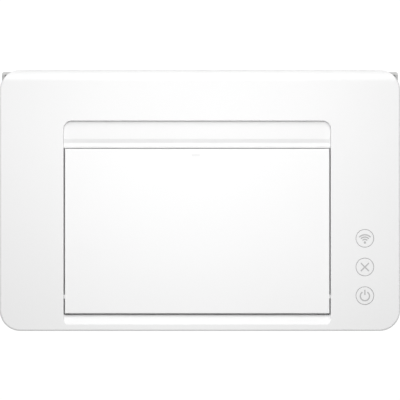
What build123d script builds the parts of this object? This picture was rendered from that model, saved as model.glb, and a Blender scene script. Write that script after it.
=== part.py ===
from build123d import *
import math
import os

# Compact laser printer. X runs across the machine (right is +X), the front faces -Y, and +Z is up.
# The origin is the middle of the footprint, on the surface that the feet stand on. Millimetres.

# Overall size
WIDTH = 331.0
DEPTH = 215.8
HEIGHT = 178.0
BODY_INSET = 1.3          # how far the lower body stands inside the top cover, at the sides
BODY_FRONT_INSET = 3.8
BODY_REAR_INSET = 1.4
FOOT_HEIGHT = 4.0
FOOT_RADIUS = 9.0
FOOT_EDGE = 28.0          # from the body's edge to a foot's centre
COVER_HEIGHT = 68.0       # from the top of the side covers and the front frame to the top
WALL = 2.5
FACE_GAP = 0.3            # between a moving piece and what it closes on
RUNNING = 0.05            # radial clearance of a shaft or pin in its hole

# Top cover
CORNER_R = 17.0
TOP_EDGE_R = 1.4
TOP_INNER_R = 0.5
COVER_HINGE_R = 9.5       # the rear edge is round about the cover's hinge
COVER_LIP_ANGLE = 38.0    # how far below level the round rear edge ends
COVER_TRAVEL_DEG = 60.0
COVER_HINGE_PIN_R = 2.5
COVER_LUG_T = 3.5
LEDGE_WIDTH = 5.0         # inward ledge along the cover's lower edge
LEDGE_T = 2.0
COVER_SEAM = 0.4

# Recess in the top cover: its rear and front edges, measured from the cover's rear and front
RECESS_REAR_INSET = 42.2
RECESS_FRONT_INSET = 13.45
RECESS_LEFT_MARGIN = 1.75  # from the end of the rollers to the recess's left wall
RECESS_RIGHT_MARGIN = 2.9
RECESS_CORNER_R = 6.7
SLOPE_CORNER_R = 5.0
RIM_SIDE = 10.0           # thick rim of the top cover round the recess
RIM_T = 11.0
EDGE_BREAK = 0.8          # small rounding of moulded edges
RIM_FRONT = 5.3           # from the cover's front to where the recess's front slope starts
SLOPE_DROP = 5.5
BED_FLANGE = 6.0

# Exit hood: its edges, measured from the recess's rear wall
HOOD_REACH = 22.5
HOOD_LIP_REACH = 22.2
GROOVE_REACH = 19.1
GROOVE_REAR_HALF = 4.4    # the groove is gentler towards the rear
GROOVE_FRONT_HALF = 2.0
GROOVE_DEPTH = 0.9
HOOD_DROP = 2.6
HOOD_T = 2.2
HOOD_LIP_DROP = 0.5
HOOD_FLANGE = 8.0
HOOD_SEAM = 0.35
HOOD_SIDE_SEAM = 0.15

# Output flap
FLAP_GAP = 0.9
FLAP_REAR_GAP = 0.5
FLAP_DROP = 2.0           # top of the flap below the top of the cover
FLAP_T = 2.2
FLAP_HINGE_INSET = 28.2   # from the cover's front to the flap's hinge
FLAP_HINGE_BELOW = 7.0    # hinge axis below the top of the cover
FLAP_PIN_R = 2.0
FLAP_PIN_DEPTH = 4.0      # how far a pin reaches into the recess wall
FLAP_LUG_T = 2.2
FLAP_RIB_T = 1.6
FLAP_RIB_H = 3.0

# Output bed under the flap, measured down from the top and in from the cover's front
BED_T = 2.0
BED_REAR_DROP = 29.0
BED_FRONT_DROP = 20.0
WELL_DROP = 25.0
WELL_REAR_INSET = 47.3

# Buttons
BUTTON_SIDE = 29.1        # from the cover's side to the buttons' centres
BUTTON_INSET = 52.8       # from the cover's front to the middle button
BUTTON_PITCH = 23.7
BUTTON_R = 7.2
BUTTON_GAP = 0.4
BUTTON_DROP = 0.2
BUTTON_TRAVEL = 1.2
BUTTON_EDGE_R = 0.36
BUTTON_FLANGE = 1.2
BUTTON_STEM_R = 2.0
BUTTON_STEM = 6.0
BOARD_T = 1.6
SWITCH_H = 4.0
SWITCH_HALF = 3.0
BOARD_HALF = 14.0
BOARD_EDGE = 16.0         # board beyond the outer buttons' centres
POST_R = 3.0

# Front frame and door
FRONT_CORNER_R = 15.0
REAR_CORNER_R = 2.0
FRONT_RETURN = 17.0       # how far the front frame turns round the corners
DOOR_T = 3.0
DOOR_KNUCKLE_R = 5.0
DOOR_AXIS_Z = 13.5
DOOR_TOP_DROP = 6.0       # from the body's top to the door's top edge
DOOR_PIN_R = 2.5
DOOR_PIN_L = 5.0
DOOR_RIB_T = 1.8
DOOR_RIB_H = 3.0
DOOR_GRIP_HALF = 30.0
DOOR_GRIP_H = 12.0
SILL_DEPTH = 9.0

# Side covers and rear cover
COVER_FLANGE = 4.0
POST_REACH = 9.8          # corner posts of the rear cover, along Y
VENT_COUNT = 9
VENT_PITCH = 7.0
VENT_W = 2.4
VENT_H = 26.0
VENT_LOW = 28.0
REAR_TOP_DROP = 18.0
REAR_SHELF = 7.5          # inward shelf near the top of the rear cover
REAR_SHELF_DROP = 4.0
REAR_DOOR_BOTTOM = 34.0   # hinge height
REAR_DOOR_TOP = 126.0
REAR_DOOR_T = 2.5
REAR_KNUCKLE_R = 4.0
REAR_PIN_R = 1.8
REAR_PIN_L = 4.0
SCREW_INSET = 19.2        # from the body's side to the rear cover's screws
SCREW_LEVELS = [(-1, 20.0), (-1, 140.0), (1, 140.0), (1, 90.0)]
SCREW_HEAD_R = 2.8
SCREW_HEAD_T = 1.2
SCREW_SHANK_R = 1.4
SCREW_LENGTH = 7.0

# Base frame and paper tray
BASE_T = 2.5
BASE_WALL_H = 12.0
TRAY_INSET = 14.8         # from the cover's front to the tray's front edge
TRAY_SIDE = 14.0          # from a side frame to the tray's wall
TRAY_BEHIND = 8.0         # from the feed roller forward to the tray's rear edge
TRAY_T = 2.0
TRAY_WALL_TOP = 30.0
PLATE_AXIS_INSET = 48.3
PLATE_AXIS_Z = 13.5
PLATE_T = 1.5
PLATE_LIP = 3.0
PLATE_MARGIN = 2.5        # from the paper's edge to the lift plate's edge
PLATE_PIN_R = 2.0
PLATE_EAR_T = 3.0
PLATE_EAR_HALF = 5.0
PLATE_BEYOND = 32.0       # from the drum's centre forward to the lift plate's rear edge
SPRING_WIRE_R = 0.6
SPRING_TURNS = 3
PAPER_MARGIN = 2.5        # from the end of the rollers to the paper's edge
GUIDE_INSET = 28.3
GUIDE_DEPTH = 25.0
GUIDE_T = 2.0
GUIDE_TOP = 42.0
GUIDE_TEETH = 10
GUIDE_POST_R = 2.5
RACK_T = 3.0
RACK_H = 3.0
RACK_OVER = 6.0           # how far a rack reaches past the pinion's centre
PAD_HALF = 22.0
PAD_T = 3.0
PAD_FOOT = 20.0

# Side frames
FRAME_INSET = 32.2        # from the body's side to a frame's inner face
FRAME_T = 2.5
FRAME_FRONT_INSET = 16.3
FRAME_REAR_INSET = 7.5
FRAME_OVER = 2.0          # the frames' front part above the body's top edge
FRAME_HIGH_DROP = 16.0    # top beside the exit rollers, below the top of the cover
EAR_R = 6.0
NECK_HALF = 3.0
NECK_LENGTH = 24.0
NECK_CLEAR_DEG = 1.5      # left between the neck and the round edge of the opened cover

# Paper path rollers: the drum is placed from the rear, the rest from it or from the gears
DRUM_INSET = 55.5
DRUM_Z = 69.5
DRUM_R = 12.0
SHAFT_R = 3.0
DEVELOPER_R = 7.0
DEVELOPER_ANGLE = 167.0
REDUCTION_ANGLE = 105.0
TRANSFER_R = 7.0
FEED_AHEAD = 18.0         # from the drum forward to the feed roller
FEED_Z = 46.0
FEED_R = 6.0
NIP_GAP = 0.3
PICKUP_Z = 50.0
PICKUP_R = 14.0
PICKUP_TYRE = 40.0        # width of the pickup tyre
FUSER_BEHIND = 32.0       # from the drum back to the fuser
FUSER_Z = 80.0
FUSER_R = 11.0
EXIT_BEHIND = 16.0
EXIT_Z = 152.0
EXIT_R = 7.0
EXIT_TYRE = 16.0
EXIT_IDLER_R = 5.0
EXIT_IDLER_ANGLE = 85.0
ROLLER_MARGIN = 21.0      # from a side frame to the end of the rollers

# Gears
MODULE = 1.5
BACKLASH = 0.35
GEAR_W = 5.0
GEAR_SIDE = 15.7          # from the body's left side to the outer row of gears
GEAR_ROW = 7.0            # from the outer row to the inner row
DRUM_TEETH = 16
SMALL_TEETH = 10          # developer, transfer and exit gears
FEED_TEETH = 8
PICKUP_TEETH = 26
REDUCTION_SMALL = 12
REDUCTION_LARGE = 32
PINION_TEETH = 8
FUSER_TEETH = 14
FUSER_IDLER_TEETH = 14
EXIT_IDLER_TEETH = 20
STUD_R = 2.5
BUSH_T = 1.5
MOTOR_R = 17.0
MOTOR_T = 7.0
MOTOR_PLATE_T = 1.5
MOTOR_PLATE_REACH = (-64.0, -14.0, 70.0, 123.0)   # from the drum along Y, then heights
PILLAR_R = 3.0
PILLAR_REACH = [(-58.0, 108.0), (-58.0, 76.0), (-30.0, 118.0)]

# Cartridge, scanner, fuser: lengths along Y are from the drum's centre
CARTRIDGE_SIDE = 5.0      # from a side frame to the cartridge's end
CARTRIDGE_AHEAD = 76.0
CARTRIDGE_BEHIND = 13.5
CARTRIDGE_TOP = 107.0
CARTRIDGE_FLOOR = 68.0
CARTRIDGE_WALL = 1.8
CARTRIDGE_POCKET = 4.0    # from the end of the rollers to the end of their pocket
CARTRIDGE_BOSS_REACH = [(-48.0, 92.0), (-22.0, 98.0)]
CARTRIDGE_BOSS_R = 3.0
HANDLE_HALF = 40.0
HANDLE_REACH = 10.0
HANDLE_T = 3.0
BEAM_MARGIN = 0.5
BEAM_SLOT = 4.0
SHELF_Z = 113.0
SHELF_T = 1.5
SCANNER_SIDE = 14.0       # from a side frame to the scanner's end
SCANNER_AHEAD = 70.0
SCANNER_BEHIND = 5.0
SCANNER_H = 26.0
SCANNER_WALL = 2.0
SCANNER_RIB = 60.0
POLYGON_AHEAD = 54.0
POLYGON_R = 10.0
POLYGON_H = 4.0
POLYGON_POST_H = 6.0
POLYGON_SHAFT_R = 1.5
LASER_HALF = 6.0
LASER_LENGTH = 14.0
LASER_HEIGHT = 12.0
FUSER_GAP = 1.0
GUIDE_RIB_T = 1.6
RIB_PITCH = 17.0

# Electrics
BOARD_SIDE = 18.2         # from the body's right side to the main board's face
BOARD_FRONT_INSET = 30.3
CHIP_T = 2.0
CHIPS = [(18.0, 66.0, 14.0), (44.0, 70.0, 20.0), (76.0, 74.0, 12.0), (102.0, 66.0, 10.0), (128.0, 80.0, 14.0)]
POWER_BOARD_LENGTH = 98.0
POWER_BOARD_LEVELS = (20.0, 54.0)
SPACER_R = 2.5
CANS = [(16.0, 38.0, 7.0, 12.0), (34.0, 30.0, 5.0, 10.0), (90.0, 30.0, 5.0, 8.0)]
TRANSFORMER = (46.0, 70.0, 26.0, 48.0, 13.0)
HEAT_SINK = (74.0, 82.0, 24.0, 44.0, 8.0)
INLET_SIDE = 17.2         # from the body's right side to the middle of the inlet
INLET_Z = 35.0
INLET_W = 20.0
INLET_H = 27.0
INLET_FLANGE = 2.0
INLET_DEPTH = 22.0
USB_Z = 62.0
USB_W = 12.0
USB_H = 11.0
USB_DEPTH = 16.0
FAN_SIZE = 40.0
FAN_T = 10.0
FAN_AHEAD = 12.0          # from the drum forward to the fan and the cooling slots
FAN_Z = 86.0
FAN_BLADES = 7

# Places across the machine that follow from the sizes above
HALF_W = WIDTH / 2
BODY_HALF = HALF_W - BODY_INSET
FRAME_X = BODY_HALF - FRAME_INSET
FRAME_OUT = FRAME_X + FRAME_T
LUG_X = FRAME_OUT + FACE_GAP
ROLLER_HALF = FRAME_X - ROLLER_MARGIN
PAPER_HALF = ROLLER_HALF - PAPER_MARGIN
BEAM_HALF = PAPER_HALF - BEAM_MARGIN
PLATE_HALF = PAPER_HALF - PLATE_MARGIN
TRAY_HALF = FRAME_X - TRAY_SIDE
CARTRIDGE_HALF = FRAME_X - CARTRIDGE_SIDE
SCANNER_HALF = FRAME_X - SCANNER_SIDE
DOOR_HALF = FRAME_X - 1.0
REAR_DOOR_HALF = TRAY_HALF - 14.0
RECESS_LEFT = -(ROLLER_HALF + RECESS_LEFT_MARGIN)
RECESS_RIGHT = ROLLER_HALF - RECESS_RIGHT_MARGIN
BUTTON_X = HALF_W - BUTTON_SIDE
GEAR_B_X = GEAR_SIDE - BODY_HALF
GEAR_A_X = GEAR_B_X + GEAR_ROW
BOARD_X = BODY_HALF - BOARD_SIDE
INLET_X = BODY_HALF - INLET_SIDE
SCREW_PLACES = [(side * (BODY_HALF - SCREW_INSET), z) for side, z in SCREW_LEVELS]

# Places along the machine
FRONT = -DEPTH / 2
REAR = DEPTH / 2
BODY_FRONT = FRONT + BODY_FRONT_INSET
BODY_REAR = REAR - BODY_REAR_INSET
FRONT_SPLIT = BODY_FRONT + FRONT_RETURN
POST_FRONT = BODY_REAR - POST_REACH
COVER_BACK = POST_FRONT - FACE_GAP
COVER_HINGE_Y = REAR - COVER_HINGE_R
RECESS_REAR = REAR - RECESS_REAR_INSET
RECESS_FRONT = FRONT + RECESS_FRONT_INSET
SLOPE_FRONT = FRONT + RIM_FRONT
HOOD_FRONT = RECESS_REAR - HOOD_REACH
HOOD_LIP_Y = RECESS_REAR - HOOD_LIP_REACH
GROOVE_Y = RECESS_REAR - GROOVE_REACH
FLAP_HINGE_Y = FRONT + FLAP_HINGE_INSET
WELL_REAR_Y = FRONT + WELL_REAR_INSET
BUTTON_Y = FRONT + BUTTON_INSET
TRAY_FRONT = FRONT + TRAY_INSET
PLATE_AXIS_Y = FRONT + PLATE_AXIS_INSET
GUIDE_Y = FRONT + GUIDE_INSET
FRAME_FRONT = FRONT + FRAME_FRONT_INSET
FRAME_REAR = REAR - FRAME_REAR_INSET
BOARD_FRONT = FRONT + BOARD_FRONT_INSET
DOOR_AXIS_Y = BODY_FRONT + DOOR_KNUCKLE_R
REAR_AXIS_Y = BODY_REAR - REAR_KNUCKLE_R
DRUM_Y = REAR - DRUM_INSET
FEED_Y = DRUM_Y - FEED_AHEAD
FUSER_Y = DRUM_Y + FUSER_BEHIND
EXIT_Y = DRUM_Y + EXIT_BEHIND
TRAY_REAR = FEED_Y - TRAY_BEHIND
PLATE_REACH = DRUM_Y - PLATE_BEYOND - PLATE_AXIS_Y
CARTRIDGE_FRONT = DRUM_Y - CARTRIDGE_AHEAD
CARTRIDGE_REAR = DRUM_Y + CARTRIDGE_BEHIND
SCANNER_FRONT = DRUM_Y - SCANNER_AHEAD
SCANNER_REAR = DRUM_Y + SCANNER_BEHIND
POLYGON_Y = DRUM_Y - POLYGON_AHEAD
FAN_Y = DRUM_Y - FAN_AHEAD
MOTOR_PLATE = (DRUM_Y + MOTOR_PLATE_REACH[0], DRUM_Y + MOTOR_PLATE_REACH[1], *MOTOR_PLATE_REACH[2:])
PILLAR_PLACES = [(DRUM_Y + y, z) for y, z in PILLAR_REACH]
CARTRIDGE_BOSSES = [(DRUM_Y + y, z) for y, z in CARTRIDGE_BOSS_REACH]
FOOT_PLACES = [
    (side * (BODY_HALF - FOOT_EDGE), y)
    for side in (-1, 1)
    for y in (BODY_FRONT + FOOT_EDGE, BODY_REAR - FOOT_EDGE)
]

# Heights
TOP = HEIGHT
BODY_TOP = TOP - COVER_HEIGHT
COVER_BOTTOM = BODY_TOP + COVER_SEAM
COVER_HINGE_Z = TOP - COVER_HINGE_R
RIM_BOTTOM = TOP - RIM_T
FLAP_HINGE_Z = TOP - FLAP_HINGE_BELOW
FLAP_TOP = TOP - FLAP_DROP
BED_REAR_Z = TOP - BED_REAR_DROP
BED_FRONT_Z = TOP - BED_FRONT_DROP
WELL_FLOOR_Z = TOP - WELL_DROP
DOOR_TOP = BODY_TOP - DOOR_TOP_DROP
REAR_TOP = TOP - REAR_TOP_DROP
FRAME_TOP = BODY_TOP + FRAME_OVER
FRAME_HIGH = TOP - FRAME_HIGH_DROP
BASE_TOP = FOOT_HEIGHT + BASE_T
TRAY_FLOOR = BASE_TOP + TRAY_T
PAD_TOP = PICKUP_Z - PICKUP_R * 0.3
NECK_ANGLE = 360 - COVER_LIP_ANGLE - COVER_TRAVEL_DEG - NECK_CLEAR_DEG
NECK_ANGLE -= math.degrees(math.asin(NECK_HALF / (COVER_HINGE_R - WALL)))


def gear_distance(teeth, other_teeth):
    return MODULE * (teeth + other_teeth) / 2


def polar(centre, radius, degrees):
    """The point at this distance and angle from a centre, as (Y, Z)."""
    angle = math.radians(degrees)
    return (centre[0] + radius * math.cos(angle), centre[1] + radius * math.sin(angle))


def between(centre, radius, other, other_radius, side):
    """Where two circles meet: the one crossing to the left (+1) or right (-1) of centre to other."""
    span = math.dist(centre, other)
    along = (radius**2 - other_radius**2 + span**2) / (2 * span)
    across = side * math.sqrt(radius**2 - along**2)
    ahead = ((other[0] - centre[0]) / span, (other[1] - centre[1]) / span)
    return (
        centre[0] + along * ahead[0] - across * ahead[1],
        centre[1] + along * ahead[1] + across * ahead[0],
    )


# Roller and gear centres, as (Y, Z)
DRUM = (DRUM_Y, DRUM_Z)
DEVELOPER = polar(DRUM, gear_distance(DRUM_TEETH, SMALL_TEETH), DEVELOPER_ANGLE)
TRANSFER = polar(DRUM, gear_distance(DRUM_TEETH, SMALL_TEETH), -90)
FEED = (FEED_Y, FEED_Z)
FEED_IDLER_ROLLER = (FEED_Y, FEED_Z + 2 * FEED_R + NIP_GAP)
FEED_IDLER = between(
    TRANSFER, gear_distance(SMALL_TEETH, FEED_TEETH), FEED, gear_distance(FEED_TEETH, FEED_TEETH), 1
)
PICKUP_SPAN = gear_distance(FEED_TEETH, PICKUP_TEETH)
PICKUP = (FEED_Y - math.sqrt(PICKUP_SPAN**2 - (PICKUP_Z - FEED_Z) ** 2), PICKUP_Z)
REDUCTION = polar(DRUM, gear_distance(DRUM_TEETH, REDUCTION_SMALL), REDUCTION_ANGLE)
PINION = polar(REDUCTION, gear_distance(REDUCTION_LARGE, PINION_TEETH), 180)
FUSER = (FUSER_Y, FUSER_Z)
PRESSURE = (FUSER_Y, FUSER_Z - 2 * FUSER_R - NIP_GAP)
FUSER_IDLER = between(
    DRUM,
    gear_distance(DRUM_TEETH, FUSER_IDLER_TEETH),
    FUSER,
    gear_distance(FUSER_TEETH, FUSER_IDLER_TEETH),
    -1,
)
EXIT = (EXIT_Y, EXIT_Z)
EXIT_IDLER = (EXIT_Y, EXIT_Z - EXIT_R - EXIT_IDLER_R - NIP_GAP)
LOWER_IDLER = polar(FUSER, gear_distance(FUSER_TEETH, EXIT_IDLER_TEETH), EXIT_IDLER_ANGLE)
UPPER_IDLER = between(
    LOWER_IDLER,
    gear_distance(EXIT_IDLER_TEETH, EXIT_IDLER_TEETH),
    EXIT,
    gear_distance(EXIT_IDLER_TEETH, SMALL_TEETH),
    1,
)


def block(x0, x1, y0, y1, z0, z1):
    """A box between two corners."""
    return Pos((x0 + x1) / 2, (y0 + y1) / 2, (z0 + z1) / 2) * Box(x1 - x0, y1 - y0, z1 - z0)


def rod_x(centre, radius, x0, x1):
    """A round bar along X at a (Y, Z) centre."""
    return Pos((x0 + x1) / 2, centre[0], centre[1]) * Rot(0, 90, 0) * Cylinder(radius, x1 - x0)


def rod_y(x, z, radius, y0, y1):
    return Pos(x, (y0 + y1) / 2, z) * Rot(90, 0, 0) * Cylinder(radius, y1 - y0)


def rod_z(x, y, radius, z0, z1):
    return Pos(x, y, (z0 + z1) / 2) * Cylinder(radius, z1 - z0)


def counter_clockwise(points):
    """The same outline, running so that its face points the positive way."""
    turns = zip(points, points[1:] + points[:1])
    area = sum(a[0] * b[1] - b[0] * a[1] for a, b in turns)
    return points if area > 0 else points[::-1]


def side_profile(points, x0, x1):
    """A flat (Y, Z) outline drawn out along X."""
    face = Polygon(*counter_clockwise(points), align=None)
    return extrude(Plane.YZ.offset(x0) * face, amount=x1 - x0)


def plan_profile(points, z0, z1):
    """A flat (X, Y) outline drawn up along Z."""
    return plan(Polygon(*counter_clockwise(points), align=None), z0, z1)


def plan(sketch, z0, z1):
    """A plan outline drawn up along Z."""
    return extrude(Pos(0, 0, z0) * sketch, amount=z1 - z0)


def joined(pieces):
    """Several bodies fused into one."""
    pieces = list(pieces)
    result = pieces[0]
    for piece in pieces[1:]:
        result = result + piece
    return result


def mirrored(solid):
    """The same piece on the other side of the machine."""
    return mirror(solid, about=Plane.YZ)


def pair(solid):
    """A piece and its mirror image, fused where they touch."""
    return solid + mirrored(solid)


def save(name, *pieces):
    """Write one node: all of its solids in one file."""
    solids = []
    for piece in pieces:
        solids += piece.solids()
    shape = solids[0] if len(solids) == 1 else Compound(children=solids)
    export_step(shape, f"parts/{name}.step")


def gear(teeth, centre, x0, x1, phase, bore):
    """A spur gear about an X axis, one tooth centred on the phase angle."""
    pitch_r = MODULE * teeth / 2
    base_r = pitch_r * math.cos(math.radians(20))
    root_r = pitch_r - 1.2 * MODULE
    tip_r = pitch_r + 0.9 * MODULE
    flank_r = max(base_r, root_r + 0.1)
    half_tooth = math.pi / 2 / teeth - BACKLASH / 2 / pitch_r

    def involute(radius):
        pressure = math.acos(min(1.0, base_r / radius))
        return math.tan(pressure) - pressure

    def half_angle(radius):
        return half_tooth + involute(pitch_r) - involute(radius)

    outline = []
    for tooth in range(teeth):
        middle = math.radians(phase) + 2 * math.pi * tooth / teeth
        flank = [(root_r, half_angle(flank_r)), (flank_r, half_angle(flank_r))]
        flank += [(pitch_r, half_angle(pitch_r)), (tip_r, half_angle(tip_r))]
        for radius, half in flank:
            outline.append((radius * math.cos(middle - half), radius * math.sin(middle - half)))
        for radius, half in reversed(flank):
            outline.append((radius * math.cos(middle + half), radius * math.sin(middle + half)))
    points = [(centre[0] + y, centre[1] + z) for y, z in outline]
    return side_profile(points, x0, x1) - rod_x(centre, bore, x0, x1)


def mesh_phase(driver, driver_teeth, driver_phase, driven, driven_teeth):
    """The phase that puts a driven gear's gap on the driver's tooth."""
    line = math.degrees(math.atan2(driven[1] - driver[1], driven[0] - driver[0]))
    past_tooth = (line - driver_phase) / (360 / driver_teeth) % 1
    return line + 180 + (past_tooth + 0.5) * 360 / driven_teeth


os.makedirs("parts", exist_ok=True)


def cover_form(inset, lip_angle=COVER_LIP_ANGLE):
    """The top cover's outer form, or with an inset the space inside its wall."""
    bottom = COVER_BOTTOM - (LEDGE_T if inset else 0)
    top = TOP - inset
    form = plan(RectangleRounded(WIDTH - 2 * inset, DEPTH - 2 * inset, CORNER_R - inset), bottom, top)
    form = fillet(form.faces().sort_by(Axis.Z)[-1].edges(), TOP_INNER_R if inset else TOP_EDGE_R)
    axis = (COVER_HINGE_Y, COVER_HINGE_Z)
    radius = COVER_HINGE_R - inset
    lip = polar(axis, radius, -lip_angle)
    middle = polar(axis, radius, (90 - lip_angle) / 2)
    with BuildSketch(Plane.YZ.offset(-HALF_W)) as side:
        with BuildLine():
            Line((FRONT - 1, bottom), (FRONT - 1, top))
            Line((FRONT - 1, top), (COVER_HINGE_Y, top))
            ThreePointArc((COVER_HINGE_Y, top), middle, lip)
            Polyline(lip, (COVER_BACK, lip[1]), (COVER_BACK, bottom), (FRONT - 1, bottom))
        make_face()
    return form & extrude(side.sketch, amount=WIDTH)


def cover_underside():
    """The opening under the round rear edge, where the hinge necks come up."""
    axis = (COVER_HINGE_Y, COVER_HINGE_Z)
    inner = polar(axis, COVER_HINGE_R - WALL, -COVER_LIP_ANGLE)
    outer = polar(axis, COVER_HINGE_R + WALL, -COVER_LIP_ANGLE)
    points = [(COVER_BACK - 1, outer[1]), (COVER_BACK - 1, COVER_HINGE_Z), axis, inner, outer]
    inside = RectangleRounded(WIDTH - 2 * WALL, DEPTH - 2 * WALL, CORNER_R - WALL)
    return side_profile(points, -HALF_W, HALF_W) & plan(inside, COVER_BOTTOM, TOP)


def cover_cheek():
    """The right rear corner of the cover, where its wall goes round the hinge all the way down."""
    corner = block(HALF_W - CORNER_R, HALF_W, COVER_BACK, REAR, COVER_BOTTOM, COVER_HINGE_Z)
    inside = RectangleRounded(WIDTH - 2 * WALL, DEPTH - 2 * WALL, CORNER_R - WALL)
    return (cover_form(0, lip_angle=90) & corner) - plan(inside, COVER_BOTTOM, TOP)


def recess_sketch(grow):
    """Plan of the recess, rounded at the rear corners, grown outwards by an amount."""
    left = RECESS_LEFT - grow
    right = RECESS_RIGHT + grow
    rear = RECESS_REAR + grow
    outline = Pos((left + right) / 2, (rear + RECESS_FRONT) / 2) * Rectangle(
        right - left, rear - RECESS_FRONT
    )
    corners = outline.vertices().group_by(Axis.Y)[-1]
    return fillet(corners, RECESS_CORNER_R + grow)


def front_slope():
    """What is cut away where the recess runs up to the front rim."""
    wedge = [(RECESS_FRONT + 1, TOP - SLOPE_DROP), (RECESS_FRONT, TOP - SLOPE_DROP)]
    wedge += [(SLOPE_FRONT, TOP), (SLOPE_FRONT, TOP + 1), (RECESS_FRONT + 1, TOP + 1)]
    area = Pos((RECESS_LEFT + RECESS_RIGHT) / 2, (SLOPE_FRONT + RECESS_FRONT + 1) / 2) * Rectangle(
        RECESS_RIGHT - RECESS_LEFT, RECESS_FRONT + 1 - SLOPE_FRONT
    )
    area = fillet(area.vertices().group_by(Axis.Y)[0], SLOPE_CORNER_R)
    return side_profile(wedge, RECESS_LEFT, RECESS_RIGHT) & plan(area, RIM_BOTTOM, TOP + 1)


def cover_ledge():
    """The inward ledge along the cover's lower edge, which closes on the body."""
    outside = RectangleRounded(WIDTH - 2 * WALL, DEPTH - 2 * WALL, CORNER_R - WALL)
    reach = WALL + LEDGE_WIDTH
    inside = RectangleRounded(WIDTH - 2 * reach, DEPTH - 2 * reach, CORNER_R - reach)
    ledge = plan(outside, COVER_BOTTOM, COVER_BOTTOM + LEDGE_T)
    ledge -= plan(inside, COVER_BOTTOM, COVER_BOTTOM + LEDGE_T)
    return ledge - block(-HALF_W, HALF_W, COVER_BACK - WALL, REAR, COVER_BOTTOM, TOP)


def cover_lug():
    """The lug that carries a hinge pin, on the right."""
    axis = (COVER_HINGE_Y, COVER_HINGE_Z)
    half = COVER_HINGE_R - WALL - 1
    lug = rod_x(axis, half, LUG_X, LUG_X + COVER_LUG_T)
    lug += block(LUG_X, LUG_X + COVER_LUG_T, COVER_HINGE_Y - half, COVER_HINGE_Y + half, COVER_HINGE_Z, TOP)
    lug = lug & cover_form(WALL / 2)
    return lug - rod_x(axis, COVER_HINGE_PIN_R, LUG_X, LUG_X + COVER_LUG_T)


def top_cover():
    cover = cover_form(0) - cover_form(WALL) - cover_underside()
    cover += cover_cheek() + mirrored(cover_cheek()) + cover_ledge()
    cover += plan(recess_sketch(RIM_SIDE), RIM_BOTTOM, TOP - WALL)
    bar_x = (RECESS_LEFT - RIM_SIDE, RECESS_RIGHT + RIM_SIDE)
    cover += block(*bar_x, FRONT + WALL, RECESS_FRONT, RIM_BOTTOM, TOP - WALL)
    cover -= plan(recess_sketch(0), RIM_BOTTOM - 1, TOP + 1)
    cover -= front_slope()
    edges = [
        edge
        for edge in cover.edges().filter_by(Axis.Y)
        if abs(edge.center().Z - TOP) < 0.01
        and min(abs(edge.center().X - RECESS_LEFT), abs(edge.center().X - RECESS_RIGHT)) < 0.01
        and edge.center().Y > RECESS_FRONT
    ]
    cover = fillet(edges, EDGE_BREAK)
    for step in (-1, 0, 1):
        place = (BUTTON_X, BUTTON_Y + step * BUTTON_PITCH)
        cover -= rod_z(*place, BUTTON_R + BUTTON_GAP, TOP - 2 * WALL, TOP)
    for wall_x, out in ((RECESS_LEFT, -1), (RECESS_RIGHT, 1)):
        ends = sorted((wall_x, wall_x + out * (FLAP_PIN_DEPTH + FACE_GAP)))
        cover -= rod_x((FLAP_HINGE_Y, FLAP_HINGE_Z), FLAP_PIN_R + RUNNING, *ends)
    return cover + cover_lug() + mirrored(cover_lug())


def cover_hinge_pins():
    return pair(rod_x((COVER_HINGE_Y, COVER_HINGE_Z), COVER_HINGE_PIN_R, FRAME_X - 1, LUG_X + COVER_LUG_T))


def finger_groove(top, left, right):
    """What is cut away for the finger: a soft hollow that runs out level at both edges."""
    rear = (GROOVE_Y + GROOVE_REAR_HALF, top)
    front = (GROOVE_Y - GROOVE_FRONT_HALF, top)
    with BuildSketch(Plane.YZ.offset(left)) as area:
        with BuildLine():
            Spline(rear, (GROOVE_Y, top - GROOVE_DEPTH), front, tangents=((-1, -0.15), (-1, 0.15)))
            Polyline(front, (front[0], top + 1), (rear[0], top + 1), rear)
        make_face()
    return extrude(area.sketch, amount=right - left)


def hood():
    """The strip behind the flap: a groove for the finger, then a lip over the paper exit."""
    left = RECESS_LEFT + HOOD_SIDE_SEAM
    right = RECESS_RIGHT - HOOD_SIDE_SEAM
    top = TOP - HOOD_DROP
    back = RECESS_REAR - HOOD_SEAM
    outer = [(back, RIM_BOTTOM - HOOD_T), (back, top), (HOOD_LIP_Y + 1, top)]
    lip = top - HOOD_LIP_DROP
    outer += [(HOOD_FRONT, lip), (HOOD_FRONT, lip - HOOD_T)]
    outer += [(HOOD_LIP_Y + 1, lip - HOOD_T), (HOOD_LIP_Y + 3, top - HOOD_T - GROOVE_DEPTH)]
    outer += [(back - HOOD_T, top - HOOD_T - GROOVE_DEPTH), (back - HOOD_T, RIM_BOTTOM - HOOD_T)]
    body = side_profile(outer, left, right)
    corners = body.edges().filter_by(Axis.Z).group_by(Axis.Y)[-1]
    body = fillet(corners.filter_by(lambda edge: edge.length > HOOD_T), RECESS_CORNER_R - HOOD_SEAM)
    body -= finger_groove(top, left, right)
    flange = block(left, right, back - HOOD_T, back + HOOD_FLANGE, RIM_BOTTOM - HOOD_T, RIM_BOTTOM)
    return body + flange


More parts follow.
